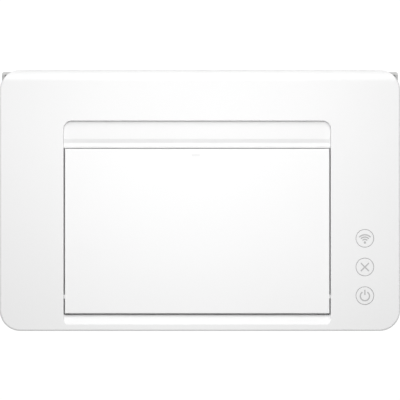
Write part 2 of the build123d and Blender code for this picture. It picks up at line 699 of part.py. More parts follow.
def output_bed():
    """The tub under the flap: a sloping bed for the paper, side walls and a well at the front."""
    left = RECESS_LEFT - BED_T
    right = RECESS_RIGHT + BED_T
    rear = HOOD_FRONT
    floor = [(rear, BED_REAR_Z), (WELL_REAR_Y, BED_FRONT_Z), (WELL_REAR_Y, WELL_FLOOR_Z)]
    floor += [(RECESS_FRONT, WELL_FLOOR_Z), (RECESS_FRONT, RIM_BOTTOM), (RECESS_FRONT - BED_T, RIM_BOTTOM)]
    floor += [(RECESS_FRONT - BED_T, WELL_FLOOR_Z - BED_T), (WELL_REAR_Y + BED_T, WELL_FLOOR_Z - BED_T)]
    floor += [(WELL_REAR_Y + BED_T, BED_FRONT_Z - BED_T), (rear, BED_REAR_Z - BED_T)]
    bed = side_profile(floor, left, right)
    wall = [(RECESS_REAR - HOOD_T, RIM_BOTTOM), (RECESS_FRONT - BED_T, RIM_BOTTOM)]
    wall += [(RECESS_FRONT - BED_T, WELL_FLOOR_Z - BED_T), (WELL_REAR_Y + BED_T, WELL_FLOOR_Z - BED_T)]
    wall += [(rear, BED_REAR_Z - BED_T), (RECESS_REAR - HOOD_T, BED_REAR_Z - BED_T)]
    flange_y = (RECESS_FRONT - BED_T, RECESS_REAR - HOOD_T)
    bed += side_profile(wall, left, left + BED_T)
    bed += side_profile(wall, right - BED_T, right)
    bed += block(left - BED_FLANGE, left, *flange_y, RIM_BOTTOM - BED_T, RIM_BOTTOM)
    bed += block(right, right + BED_FLANGE, *flange_y, RIM_BOTTOM - BED_T, RIM_BOTTOM)
    return bed


def output_flap():
    """The closed output flap: a panel with ribs below it and a hinge pin at each side."""
    left = RECESS_LEFT + FLAP_GAP
    right = RECESS_RIGHT - FLAP_GAP
    front = RECESS_FRONT + FLAP_GAP
    rear = HOOD_FRONT - FLAP_REAR_GAP
    under = FLAP_TOP - FLAP_T
    panel = block(left, right, front, rear, under, FLAP_TOP)
    panel = fillet(panel.faces().sort_by(Axis.Z)[-1].edges(), EDGE_BREAK)
    axis = (FLAP_HINGE_Y, FLAP_HINGE_Z)
    flap = panel
    for edge_x, inward in ((left, 1), (right, -1)):
        lug_x = sorted((edge_x, edge_x + inward * FLAP_LUG_T))
        pin_x = sorted((edge_x, edge_x - inward * (FLAP_GAP + FLAP_PIN_DEPTH)))
        flap += rod_x(axis, FLAP_PIN_R + 1, *lug_x)
        flap += block(*lug_x, FLAP_HINGE_Y - FLAP_PIN_R - 1, FLAP_HINGE_Y + FLAP_PIN_R + 1, axis[1], under)
        flap += rod_x(axis, FLAP_PIN_R, *pin_x)
        rib_x = sorted((edge_x, edge_x + inward * FLAP_RIB_T))
        flap += block(*rib_x, FLAP_HINGE_Y, rear - 2, under - FLAP_RIB_H, under)
    inner_left = left + FLAP_RIB_T
    inner_right = right - FLAP_RIB_T
    for rib_y in (FLAP_HINGE_Y + 2 * FLAP_RIB_H, (FLAP_HINGE_Y + rear) / 2, rear - 2 - FLAP_RIB_T):
        flap += block(inner_left, inner_right, rib_y, rib_y + FLAP_RIB_T, under - FLAP_RIB_H, under)
    return flap


def button(step):
    """A round push button: cap, retaining flange under the cover, and stem."""
    place = (BUTTON_X, BUTTON_Y + step * BUTTON_PITCH)
    top = TOP - BUTTON_DROP
    flange_top = TOP - WALL
    cap = rod_z(*place, BUTTON_R, flange_top - BUTTON_FLANGE, top)
    cap = fillet(cap.faces().sort_by(Axis.Z)[-1].edges(), BUTTON_EDGE_R)
    flange_z = (flange_top - BUTTON_FLANGE - FACE_GAP, flange_top - FACE_GAP)
    flange = rod_z(*place, BUTTON_R + 2 * BUTTON_GAP, *flange_z)
    stem = rod_z(*place, BUTTON_STEM_R, flange_top - BUTTON_FLANGE - BUTTON_STEM, flange_top - BUTTON_FLANGE)
    return cap + flange + stem


def control_board():
    """The board under the buttons, with one switch for each, on a post from the cover."""
    switch_top = TOP - WALL - BUTTON_FLANGE - BUTTON_STEM - BUTTON_TRAVEL - FACE_GAP
    board_top = switch_top - SWITCH_H
    half = BUTTON_PITCH + BOARD_EDGE
    edges = (BUTTON_X - BOARD_HALF, BUTTON_X + BOARD_HALF, BUTTON_Y - half, BUTTON_Y + half)
    board = block(*edges, board_top - BOARD_T, board_top)
    switches = []
    for step in (-1, 0, 1):
        place = (BUTTON_X, BUTTON_Y + step * BUTTON_PITCH)
        sides = (place[0] - SWITCH_HALF, place[0] + SWITCH_HALF, place[1] - SWITCH_HALF, place[1] + SWITCH_HALF)
        body = block(*sides, board_top, switch_top - 1)
        switches.append(body + rod_z(*place, BUTTON_STEM_R, switch_top - 1, switch_top))
    posts = []
    for end in (-1, 1):
        place = (BUTTON_X, BUTTON_Y + end * (BUTTON_PITCH + BOARD_EDGE - POST_R - 1))
        posts.append(rod_z(*place, POST_R, board_top, TOP - WALL))
    return [board, *switches], posts


def body_wall(inset, z0, z1):
    """Plan form of the lower body: rounded at the front, nearly square at the rear."""
    outline = Pos(0, (BODY_FRONT + BODY_REAR) / 2) * Rectangle(
        2 * (BODY_HALF - inset), BODY_REAR - BODY_FRONT - 2 * inset
    )
    outline = fillet(outline.vertices().group_by(Axis.Y)[0], FRONT_CORNER_R - inset)
    outline = fillet(outline.vertices().group_by(Axis.Y)[-1], max(REAR_CORNER_R - inset, 0.1))
    return plan(outline, z0, z1)


def body_shell(z0, z1, wall=WALL):
    return body_wall(0, z0, z1) - body_wall(wall, z0, z1)



def front_frame():
    """Front corners, the sill under the door and the bar over it."""
    frame = body_shell(FOOT_HEIGHT, BODY_TOP) & block(
        -HALF_W, HALF_W, FRONT, FRONT_SPLIT, FOOT_HEIGHT, BODY_TOP
    )
    opening = DOOR_HALF + FACE_GAP
    sill_top = DOOR_AXIS_Z - DOOR_KNUCKLE_R - 2 * FACE_GAP
    frame -= block(-opening, opening, FRONT, FRONT_SPLIT, sill_top, DOOR_TOP + FACE_GAP)
    sill_rear = BODY_FRONT + SILL_DEPTH
    frame += block(-opening, opening, BODY_FRONT, sill_rear, BASE_TOP, sill_top)
    bar_rear = BODY_FRONT + SILL_DEPTH
    frame += block(-opening, opening, BODY_FRONT, bar_rear, BODY_TOP - WALL, BODY_TOP)
    cheek = block(opening, opening + WALL, BODY_FRONT, FRAME_FRONT, BASE_TOP, BODY_TOP)
    pin_hole = rod_x((DOOR_AXIS_Y, DOOR_AXIS_Z), DOOR_PIN_R + RUNNING, opening, opening + 2 * WALL)
    boss_y = (DOOR_AXIS_Y - 2 * WALL, DOOR_AXIS_Y + 2 * WALL)
    cheek += block(opening, opening + 2 * WALL, *boss_y, BASE_TOP, DOOR_AXIS_Z + 2 * WALL)
    cheek = cheek - pin_hole
    cheek = cheek & body_wall(0, FOOT_HEIGHT, BODY_TOP)
    return frame + pair(cheek)


def front_door():
    """The fold-down tray door: panel, rolled hinge edge with two pins, ribs and a finger grip."""
    axis = (DOOR_AXIS_Y, DOOR_AXIS_Z)
    panel = block(-DOOR_HALF, DOOR_HALF, BODY_FRONT, BODY_FRONT + DOOR_T, DOOR_AXIS_Z, DOOR_TOP)
    grip_z = (DOOR_TOP - DOOR_GRIP_H, DOOR_TOP)
    grip = block(-DOOR_GRIP_HALF, DOOR_GRIP_HALF, BODY_FRONT, BODY_FRONT + DOOR_T, *grip_z)
    grip = fillet(grip.edges().filter_by(Axis.Y).group_by(Axis.Z)[0], DOOR_GRIP_H / 2)
    panel -= grip
    inside = BODY_FRONT + DOOR_T
    pocket_depth = DOOR_T + DOOR_RIB_H
    cup_half = DOOR_GRIP_HALF + WALL
    cup = block(-cup_half, cup_half, inside, BODY_FRONT + pocket_depth + WALL, grip_z[0] - WALL, DOOR_TOP)
    cup -= block(-DOOR_GRIP_HALF, DOOR_GRIP_HALF, inside, BODY_FRONT + pocket_depth, *grip_z)
    door = panel + cup
    door += rod_x(axis, DOOR_KNUCKLE_R, -DOOR_HALF, DOOR_HALF)
    pin_end = DOOR_HALF + FACE_GAP + DOOR_PIN_L
    door += rod_x(axis, DOOR_PIN_R, -pin_end, -DOOR_HALF) + rod_x(axis, DOOR_PIN_R, DOOR_HALF, pin_end)
    rib_z = (DOOR_AXIS_Z + DOOR_KNUCKLE_R, DOOR_TOP - 2 * WALL)
    for rib_x in (-DOOR_HALF * 0.9, -DOOR_HALF * 0.45, DOOR_HALF * 0.45, DOOR_HALF * 0.9):
        door += block(rib_x - DOOR_RIB_T / 2, rib_x + DOOR_RIB_T / 2, inside, inside + DOOR_RIB_H, *rib_z)
    return door


def side_cover(side):
    """A side cover between the front frame and the rear cover, with cooling slots."""
    y0 = FRONT_SPLIT
    y1 = POST_FRONT
    outer = BODY_HALF
    cover = block(outer - WALL, outer, y0, y1, FOOT_HEIGHT, BODY_TOP)
    cover += block(outer - WALL - COVER_FLANGE, outer, y0, y1, BODY_TOP - WALL, BODY_TOP)
    cover += block(outer - WALL - COVER_FLANGE, outer, y0, y1, FOOT_HEIGHT, FOOT_HEIGHT + BASE_T)
    start = FAN_Y - (VENT_COUNT - 1) * VENT_PITCH / 2
    for low in (VENT_LOW, VENT_LOW + VENT_H + 2 * VENT_W):
        for number in range(VENT_COUNT):
            y = start + number * VENT_PITCH
            cover -= block(outer - 2 * WALL, outer + 1, y - VENT_W / 2, y + VENT_W / 2, low, low + VENT_H)
    return cover if side > 0 else mirrored(cover)


def rear_cover():
    """The rear panel with its corner posts, door opening, inlet and port cut-outs, and top shelf."""
    cover = body_shell(FOOT_HEIGHT, REAR_TOP) & block(
        -HALF_W, HALF_W, POST_FRONT, REAR, FOOT_HEIGHT, REAR_TOP
    )
    shelf_top = REAR_TOP - REAR_SHELF_DROP
    cover += block(-BODY_HALF + WALL, BODY_HALF - WALL, BODY_REAR - REAR_SHELF, BODY_REAR - WALL,
                   shelf_top - WALL, shelf_top)
    round_edge = COVER_HINGE_R + 2 * FACE_GAP
    cover -= rod_x((COVER_HINGE_Y, COVER_HINGE_Z), round_edge, -BODY_HALF, BODY_HALF)
    opening = REAR_DOOR_HALF + FACE_GAP
    bottom = REAR_DOOR_BOTTOM - REAR_KNUCKLE_R - 2 * FACE_GAP
    cover -= block(-opening, opening, BODY_REAR - WALL, REAR, bottom, REAR_DOOR_TOP + FACE_GAP)
    ear = rod_x((REAR_AXIS_Y, REAR_DOOR_BOTTOM), REAR_KNUCKLE_R, opening, opening + REAR_PIN_L + 1)
    ear += block(opening, opening + REAR_PIN_L + 1, REAR_AXIS_Y, BODY_REAR - WALL,
                 REAR_DOOR_BOTTOM - REAR_KNUCKLE_R, REAR_DOOR_BOTTOM + REAR_KNUCKLE_R)
    hole = rod_x((REAR_AXIS_Y, REAR_DOOR_BOTTOM), REAR_PIN_R + RUNNING, opening, opening + REAR_PIN_L + 1)
    for side in (ear, mirrored(ear)):
        cover += side
    cover -= hole + mirrored(hole)
    half_w = INLET_W / 2 + FACE_GAP
    half_h = INLET_H / 2 + FACE_GAP
    across = (INLET_X - half_w, INLET_X + half_w, BODY_REAR - WALL, REAR)
    cover -= block(*across, INLET_Z - half_h, INLET_Z + half_h)
    half_w = USB_W / 2 + FACE_GAP
    half_h = USB_H / 2 + FACE_GAP
    across = (INLET_X - half_w, INLET_X + half_w, BODY_REAR - WALL, REAR)
    cover -= block(*across, USB_Z - half_h, USB_Z + half_h)
    for x, z in SCREW_PLACES:
        cover -= rod_y(x, z, SCREW_SHANK_R + 0.2, BODY_REAR - WALL, BODY_REAR)
    return cover


def rear_door():
    """The access door behind the fuser, hinged along its lower edge."""
    axis = (REAR_AXIS_Y, REAR_DOOR_BOTTOM)
    door = block(-REAR_DOOR_HALF, REAR_DOOR_HALF, BODY_REAR - REAR_DOOR_T, BODY_REAR,
                 REAR_DOOR_BOTTOM, REAR_DOOR_TOP)
    door += rod_x(axis, REAR_KNUCKLE_R, -REAR_DOOR_HALF, REAR_DOOR_HALF)
    pin_end = REAR_DOOR_HALF + FACE_GAP + REAR_PIN_L
    door += rod_x(axis, REAR_PIN_R, -pin_end, pin_end)
    return door


def base_frame():
    """The moulded base: floor, low walls, foot recesses and the bosses that carry the side frames."""
    side_in = BODY_HALF - WALL - COVER_FLANGE
    base = body_wall(WALL, FOOT_HEIGHT, BASE_TOP)
    base -= block(side_in, BODY_HALF, FRONT_SPLIT, POST_FRONT, FOOT_HEIGHT, BASE_TOP)
    base -= block(-BODY_HALF, -side_in, FRONT_SPLIT, POST_FRONT, FOOT_HEIGHT, BASE_TOP)
    for x0, x1 in ((-side_in, -side_in + WALL), (side_in - WALL, side_in)):
        base += block(x0, x1, FRONT_SPLIT, POST_FRONT, BASE_TOP, BASE_TOP + BASE_WALL_H)
    return base


def rubber_feet():
    feet = []
    for x, y in FOOT_PLACES:
        foot = rod_z(x, y, FOOT_RADIUS, 0, FOOT_HEIGHT)
        feet.append(chamfer(foot.faces().sort_by(Axis.Z)[0].edges(), FOOT_HEIGHT / 5))
    return feet


def tray_pan():
    """The paper tray: floor, side walls, front slot for the guides and a post for their pinion."""
    floor = block(-TRAY_HALF, TRAY_HALF, TRAY_FRONT, TRAY_REAR, TRAY_FLOOR - TRAY_T, TRAY_FLOOR)
    for x0, x1 in ((-TRAY_HALF, -TRAY_HALF + TRAY_T), (TRAY_HALF - TRAY_T, TRAY_HALF)):
        floor += block(x0, x1, TRAY_FRONT, TRAY_REAR, TRAY_FLOOR, TRAY_WALL_TOP)
    wall_x = TRAY_HALF - TRAY_T
    ear_x = wall_x - PLATE_EAR_T
    ear_y = (PLATE_AXIS_Y - PLATE_EAR_HALF, PLATE_AXIS_Y + PLATE_EAR_HALF)
    ear = block(ear_x, wall_x, *ear_y, TRAY_FLOOR, PLATE_AXIS_Z + 2 * PLATE_PIN_R)
    ear -= rod_x((PLATE_AXIS_Y, PLATE_AXIS_Z), PLATE_PIN_R + RUNNING, ear_x, wall_x)
    floor += ear
    floor += mirrored(ear)
    floor += rod_z(0, GUIDE_Y, GUIDE_POST_R, TRAY_FLOOR, TRAY_FLOOR + RACK_H + 1)
    pad_y = PICKUP[0] + PICKUP_R * 0.9
    floor += block(-PAD_HALF, PAD_HALF, pad_y + PAD_T, TRAY_REAR, TRAY_FLOOR, PAD_TOP)
    return floor


def separation_pad():
    """The rubber pad that the pickup roller rubs the sheets against."""
    pad_y = PICKUP[0] + PICKUP_R * 0.9
    pad = block(-PAD_HALF, PAD_HALF, pad_y, pad_y + PAD_T, TRAY_FLOOR + PAD_FOOT, PAD_TOP)
    return pad - rod_x(PICKUP, PICKUP_R + NIP_GAP, -PAD_HALF, PAD_HALF)


def plate_angle():
    """The lift plate's slope at rest, where it carries the sheets up to the pickup roller."""
    reach = PICKUP[0] - PLATE_AXIS_Y
    rise = PICKUP_Z - PICKUP_R - 1 - PLATE_AXIS_Z - PLATE_T
    return math.degrees(math.atan2(rise, reach))


def lift_plate():
    """The sprung plate under the paper, hinged at its front."""
    half = PLATE_HALF
    axis = (PLATE_AXIS_Y, PLATE_AXIS_Z)
    plate = block(-half, half, PLATE_AXIS_Y, PLATE_AXIS_Y + PLATE_REACH, PLATE_AXIS_Z, PLATE_AXIS_Z + PLATE_T)
    for x0, x1 in ((-half, -half + PLATE_T), (half - PLATE_T, half)):
        lip_y = (PLATE_AXIS_Y - PLATE_LIP, PLATE_AXIS_Y + PLATE_REACH - 8)
        plate += block(x0, x1, *lip_y, PLATE_AXIS_Z - PLATE_LIP, PLATE_AXIS_Z + PLATE_T)
    plate = plate.rotate(Axis((0, *axis), (1, 0, 0)), plate_angle())
    pin_end = TRAY_HALF - TRAY_T - FACE_GAP
    plate += rod_x(axis, PLATE_PIN_R, -pin_end, -half) + rod_x(axis, PLATE_PIN_R, half, pin_end)
    return plate


def rack(sign, side):
    """A toothed bar under a paper guide; sign is +1 when it lies behind the pinion."""
    pitch_y = GUIDE_Y + sign * MODULE * GUIDE_TEETH / 2
    back_y = pitch_y + sign * (RACK_T + 1.2 * MODULE)
    root_y = pitch_y + sign * 1.2 * MODULE
    tip_y = pitch_y - sign * 0.8 * MODULE
    z0 = TRAY_FLOOR + FACE_GAP
    z1 = z0 + RACK_H
    inner_x = side * -RACK_OVER
    outer_x = side * PAPER_HALF
    bar = block(*sorted((inner_x, outer_x)), *sorted((back_y, root_y)), z0, z1)
    pitch = math.pi * MODULE
    first = math.ceil(min(inner_x, outer_x) / pitch - 0.5)
    last = math.floor(max(inner_x, outer_x) / pitch - 0.5) - 1
    outline = []
    for number in range(first, last + 1):
        middle = (number + 0.5) * pitch
        root = pitch / 4 + 1.2 * MODULE * math.tan(math.radians(20)) - BACKLASH / 2
        tip = pitch / 4 - 0.8 * MODULE * math.tan(math.radians(20)) - BACKLASH / 2
        outline += [(middle - root, root_y), (middle - tip, tip_y)]
        outline += [(middle + tip, tip_y), (middle + root, root_y)]
    mid_y = (back_y + root_y) / 2
    outline = [(outline[0][0], mid_y), *outline, (outline[-1][0], mid_y)]
    return bar + plan_profile(outline, z0, z1)


def paper_guide(side):
    """A side guide: blade, foot and rack. The left one's rack lies behind the pinion."""
    sign = -side
    inner = side * PAPER_HALF
    outer = side * (PAPER_HALF + GUIDE_T)
    blade_y = (GUIDE_Y - GUIDE_DEPTH / 2, GUIDE_Y + GUIDE_DEPTH / 2)
    blade = block(*sorted((inner, outer)), *blade_y, TRAY_FLOOR + FACE_GAP, GUIDE_TOP)
    blade = fillet(blade.edges().filter_by(Axis.X).group_by(Axis.Z)[-1], GUIDE_DEPTH / 4)
    bar = rack(sign, side)
    back_y = GUIDE_Y + sign * (MODULE * GUIDE_TEETH / 2 + RACK_T + 1.2 * MODULE)
    tail = block(*sorted((inner, outer)), *sorted((back_y, back_y - sign * RACK_T)),
                 TRAY_FLOOR + FACE_GAP, TRAY_FLOOR + FACE_GAP + RACK_H)
    tunnel_x = sorted((side * (PAPER_HALF - 1), side * (PAPER_HALF + 2 * GUIDE_T)))
    tunnel_y = sorted((GUIDE_Y - sign * GUIDE_DEPTH, GUIDE_Y + sign))
    keep = blade - block(*tunnel_x, *tunnel_y, TRAY_FLOOR, TRAY_FLOOR + 2 * FACE_GAP + RACK_H)
    return keep + bar + tail


def guide_pinion():
    """The pinion that moves both paper guides together."""
    wheel = gear(GUIDE_TEETH, (0, 0), 0, RACK_H, 0, GUIDE_POST_R + RUNNING)
    wheel = wheel.rotate(Axis.Y, -90)
    return Pos(0, GUIDE_Y, TRAY_FLOOR + FACE_GAP) * wheel


ROLLERS = [PICKUP, FEED, FEED_IDLER_ROLLER, TRANSFER, DRUM, DEVELOPER, FUSER, PRESSURE, EXIT, EXIT_IDLER]
STUDS_A = [FEED_IDLER, FUSER_IDLER]
STUDS_B = [REDUCTION, LOWER_IDLER, UPPER_IDLER]


def frame_plate():
    """The right side frame: a plate with the cover's hinge ear on a slanting neck."""
    outline = [(FRAME_FRONT, BASE_TOP), (FRAME_REAR, BASE_TOP), (FRAME_REAR, FRAME_TOP + 20)]
    outline += [(FRAME_REAR - 6, FRAME_TOP + 34), (EXIT_Y + 12, FRAME_HIGH), (EXIT_Y - 12, FRAME_HIGH)]
    outline += [(EXIT_Y - 16, FRAME_TOP + 16), (SCANNER_FRONT - 12, FRAME_TOP + 16)]
    outline += [(SCANNER_FRONT - 16, FRAME_TOP), (FRAME_FRONT, FRAME_TOP - 12)]
    plate = side_profile(outline, FRAME_X, FRAME_OUT)
    axis = (COVER_HINGE_Y, COVER_HINGE_Z)
    foot = polar(axis, NECK_LENGTH, NECK_ANGLE)
    across = (NECK_HALF * math.sin(math.radians(NECK_ANGLE)), NECK_HALF * math.cos(math.radians(NECK_ANGLE)))
    neck = [(axis[0] - across[0], axis[1] + across[1]), (foot[0] - across[0], foot[1] + across[1])]
    neck += [(foot[0] + across[0], foot[1] - across[1]), (axis[0] + across[0], axis[1] - across[1])]
    plate += side_profile(neck, FRAME_X, FRAME_OUT)
    plate += rod_x(axis, EAR_R, FRAME_X, FRAME_OUT)
    return plate - rod_x(axis, COVER_HINGE_PIN_R + RUNNING, FRAME_X, FRAME_OUT)


def side_frame(side):
    """A side frame with holes for the roller bushes and, on the left, the gear studs."""
    plate = frame_plate() if side > 0 else mirrored(frame_plate())
    x0, x1 = sorted((side * FRAME_X, side * FRAME_OUT))
    for centre in ROLLERS:
        plate -= rod_x(centre, SHAFT_R + RUNNING + BUSH_T, x0, x1)
    if side < 0:
        for centre in STUDS_A + STUDS_B:
            plate -= rod_x(centre, STUD_R, x0, x1)
    return plate


def bearing_bushes():
    bushes = []
    for centre in ROLLERS:
        for x0, x1 in ((-FRAME_OUT, -FRAME_X), (FRAME_X, FRAME_OUT)):
            ring = rod_x(centre, SHAFT_R + RUNNING + BUSH_T, x0, x1)
            bushes.append(ring - rod_x(centre, SHAFT_R + RUNNING, x0, x1))
    return bushes


def gear_studs():
    """Steel studs in the left frame, which carry the gears that are on no roller."""
    studs = [rod_x(centre, STUD_R, GEAR_A_X, -FRAME_X) for centre in STUDS_A]
    studs += [rod_x(centre, STUD_R, GEAR_B_X, -FRAME_X) for centre in STUDS_B]
    return studs


def cover_screws():
    """Pan-head screws that hold the rear cover."""
    screws = []
    for x, z in SCREW_PLACES:
        head = rod_y(x, z, SCREW_HEAD_R, BODY_REAR, BODY_REAR + SCREW_HEAD_T)
        head = fillet(head.faces().sort_by(Axis.Y)[-1].edges(), SCREW_HEAD_T / 2)
        head += rod_y(x, z, SCREW_SHANK_R, BODY_REAR - SCREW_LENGTH, BODY_REAR)
        bar_y = (BODY_REAR + SCREW_HEAD_T / 2, BODY_REAR + SCREW_HEAD_T)
        arm = SCREW_HEAD_R * 0.6
        slot = SCREW_HEAD_R * 0.14
        head -= block(x - arm, x + arm, *bar_y, z - slot, z + slot)
        head -= block(x - slot, x + slot, *bar_y, z - arm, z + arm)
        screws.append(head)
    return screws


def roller(centre, radius, half, left_end, tyres=None):
    """A roller on its shaft. Tyres, where given, are (x0, x1) stretches in place of one long one."""
    body = rod_x(centre, SHAFT_R, left_end, FRAME_OUT)
    for x0, x1 in tyres or [(-half, half)]:
        body += rod_x(centre, radius, x0, x1)
    return body


def roller_with_gear(centre, radius, half, teeth, phase, gear_x, tyres=None):
    body = roller(centre, radius, half, gear_x, tyres)
    return body + gear(teeth, centre, gear_x, gear_x + GEAR_W, phase, SHAFT_R / 2)


DRUM_PHASE = 0.0
DEVELOPER_PHASE = mesh_phase(DRUM, DRUM_TEETH, DRUM_PHASE, DEVELOPER, SMALL_TEETH)
TRANSFER_PHASE = mesh_phase(DRUM, DRUM_TEETH, DRUM_PHASE, TRANSFER, SMALL_TEETH)
REDUCTION_PHASE = mesh_phase(DRUM, DRUM_TEETH, DRUM_PHASE, REDUCTION, REDUCTION_SMALL)
PINION_PHASE = mesh_phase(REDUCTION, REDUCTION_LARGE, REDUCTION_PHASE, PINION, PINION_TEETH)
FEED_IDLER_PHASE = mesh_phase(TRANSFER, SMALL_TEETH, TRANSFER_PHASE, FEED_IDLER, FEED_TEETH)
FEED_PHASE = mesh_phase(FEED_IDLER, FEED_TEETH, FEED_IDLER_PHASE, FEED, FEED_TEETH)
PICKUP_PHASE = mesh_phase(FEED, FEED_TEETH, FEED_PHASE, PICKUP, PICKUP_TEETH)
FUSER_IDLER_PHASE = mesh_phase(DRUM, DRUM_TEETH, DRUM_PHASE, FUSER_IDLER, FUSER_IDLER_TEETH)
FUSER_PHASE = mesh_phase(FUSER_IDLER, FUSER_IDLER_TEETH, FUSER_IDLER_PHASE, FUSER, FUSER_TEETH)
LOWER_IDLER_PHASE = mesh_phase(FUSER, FUSER_TEETH, FUSER_PHASE, LOWER_IDLER, EXIT_IDLER_TEETH)
UPPER_IDLER_PHASE = mesh_phase(
    LOWER_IDLER, EXIT_IDLER_TEETH, LOWER_IDLER_PHASE, UPPER_IDLER, EXIT_IDLER_TEETH
)
EXIT_PHASE = mesh_phase(UPPER_IDLER, EXIT_IDLER_TEETH, UPPER_IDLER_PHASE, EXIT, SMALL_TEETH)


def idler(teeth, centre, phase, outer_x):
    return gear(teeth, centre, outer_x, outer_x + GEAR_W, phase, STUD_R + RUNNING)


def reduction_gear():
    """The two-step gear between the motor pinion and the drum gear."""
    large = idler(REDUCTION_LARGE, REDUCTION, REDUCTION_PHASE, GEAR_B_X)
    small = gear(REDUCTION_SMALL, REDUCTION, GEAR_B_X + GEAR_W, GEAR_A_X + GEAR_W, REDUCTION_PHASE,
                 STUD_R + RUNNING)
    return large + small


def fuser_gear():
    """A wide gear on the heat roller's shaft, met by both rows."""
    return gear(FUSER_TEETH, FUSER, GEAR_B_X, GEAR_A_X + GEAR_W, FUSER_PHASE, SHAFT_R)


def motor_parts():
    """The flat motor on its bracket, and the pinion on the motor's shaft."""
    inner = GEAR_B_X - 0.5
    y0, y1, z0, z1 = MOTOR_PLATE
    plate = block(inner - MOTOR_PLATE_T, inner, y0, y1, z0, z1)
    plate -= rod_x(PINION, SHAFT_R, inner - MOTOR_PLATE_T, inner)
    for place in PILLAR_PLACES:
        plate += rod_x(place, PILLAR_R, inner, -FRAME_OUT)
    case_x = inner - MOTOR_PLATE_T
    case = rod_x(PINION, MOTOR_R, case_x - MOTOR_T, case_x)
    case = chamfer(case.faces().sort_by(Axis.X)[0].edges(), 1)
    case -= rod_x(PINION, SHAFT_R, case_x - MOTOR_T / 2, case_x)
    shaft_r = SHAFT_R - FACE_GAP
    pinion = gear(PINION_TEETH, PINION, GEAR_B_X, GEAR_B_X + GEAR_W, PINION_PHASE, shaft_r)
    pinion += rod_x(PINION, shaft_r, case_x - MOTOR_T / 2 + FACE_GAP, GEAR_B_X + GEAR_W)
    return plate, case, pinion


def toner_cartridge():
    """The toner cartridge: a hopper over the paper path, open below the drum, with a beam slot above it."""
    half = CARTRIDGE_HALF
    skirt = DRUM_Z - DRUM_R * 0.5
    outer = [(CARTRIDGE_FRONT, CARTRIDGE_FLOOR), (CARTRIDGE_FRONT, CARTRIDGE_TOP - 6)]
    outer += [(CARTRIDGE_FRONT + 6, CARTRIDGE_TOP), (CARTRIDGE_REAR - 8, CARTRIDGE_TOP)]
    outer += [(CARTRIDGE_REAR, CARTRIDGE_TOP - 10), (CARTRIDGE_REAR, skirt)]
    outer += [(DRUM_Y, skirt), (FEED_Y - FEED_R - 6, CARTRIDGE_FLOOR)]
    body = side_profile(outer, -half, half)
    wall = CARTRIDGE_WALL
    chamber_floor = DRUM_Z + DRUM_R + 2 * wall + 4
    chamber = [(CARTRIDGE_FRONT + wall, CARTRIDGE_FLOOR + wall), (CARTRIDGE_FRONT + wall, CARTRIDGE_TOP - 8)]
    chamber += [(CARTRIDGE_FRONT + 8, CARTRIDGE_TOP - wall), (DRUM_Y - BEAM_SLOT - wall, CARTRIDGE_TOP - wall)]
    chamber += [(DRUM_Y - BEAM_SLOT - wall, chamber_floor), (DEVELOPER[0] - 11, chamber_floor)]
    chamber += [(DEVELOPER[0] - 11, CARTRIDGE_FLOOR + wall)]
    body -= side_profile(chamber, -half + wall, half - wall)
    pocket_end = ROLLER_HALF + CARTRIDGE_POCKET
    body -= rod_x(DRUM, DRUM_R + 1, -pocket_end, pocket_end)
    body -= block(-pocket_end, pocket_end, DRUM_Y - DRUM_R - 1, DRUM_Y + DRUM_R + 1, 0, DRUM_Z)
    body -= rod_x(DEVELOPER, DEVELOPER_R + 1, -pocket_end, pocket_end)
    body -= block(-BEAM_HALF, BEAM_HALF, DRUM_Y - BEAM_SLOT / 2, DRUM_Y + BEAM_SLOT / 2, DRUM_Z, CARTRIDGE_TOP)
    for centre in (DRUM, DEVELOPER):
        body -= rod_x(centre, SHAFT_R + RUNNING, -half, half)
    clear = gear_clearance()
    body -= clear
    for y, z in CARTRIDGE_BOSSES:
        body += pair(rod_x((y, z), CARTRIDGE_BOSS_R, half, FRAME_X))
    grip_y = CARTRIDGE_FRONT - HANDLE_REACH
    grip_z = CARTRIDGE_TOP - HANDLE_REACH - 1
    handle = block(-HANDLE_HALF, HANDLE_HALF, grip_y, CARTRIDGE_FRONT, grip_z - HANDLE_T, grip_z)
    handle += block(-HANDLE_HALF, HANDLE_HALF, grip_y, grip_y + HANDLE_T, grip_z - 3 * HANDLE_T, grip_z)
    return body + handle


def gear_clearance():
    """Room above the feed idler roller, under the cartridge."""
    return rod_x(FEED_IDLER_ROLLER, FEED_R + 1, -CARTRIDGE_HALF, CARTRIDGE_HALF)


def scanner_shelf():
    """The sheet-metal shelf under the scanner, with a slot for the beam."""
    z1 = SHELF_Z
    shelf = block(-FRAME_X, FRAME_X, SCANNER_FRONT - 4, SCANNER_REAR + 1, z1 - SHELF_T, z1)
    return shelf - block(-BEAM_HALF, BEAM_HALF, DRUM_Y - BEAM_SLOT / 2, DRUM_Y + BEAM_SLOT / 2, 0, z1)


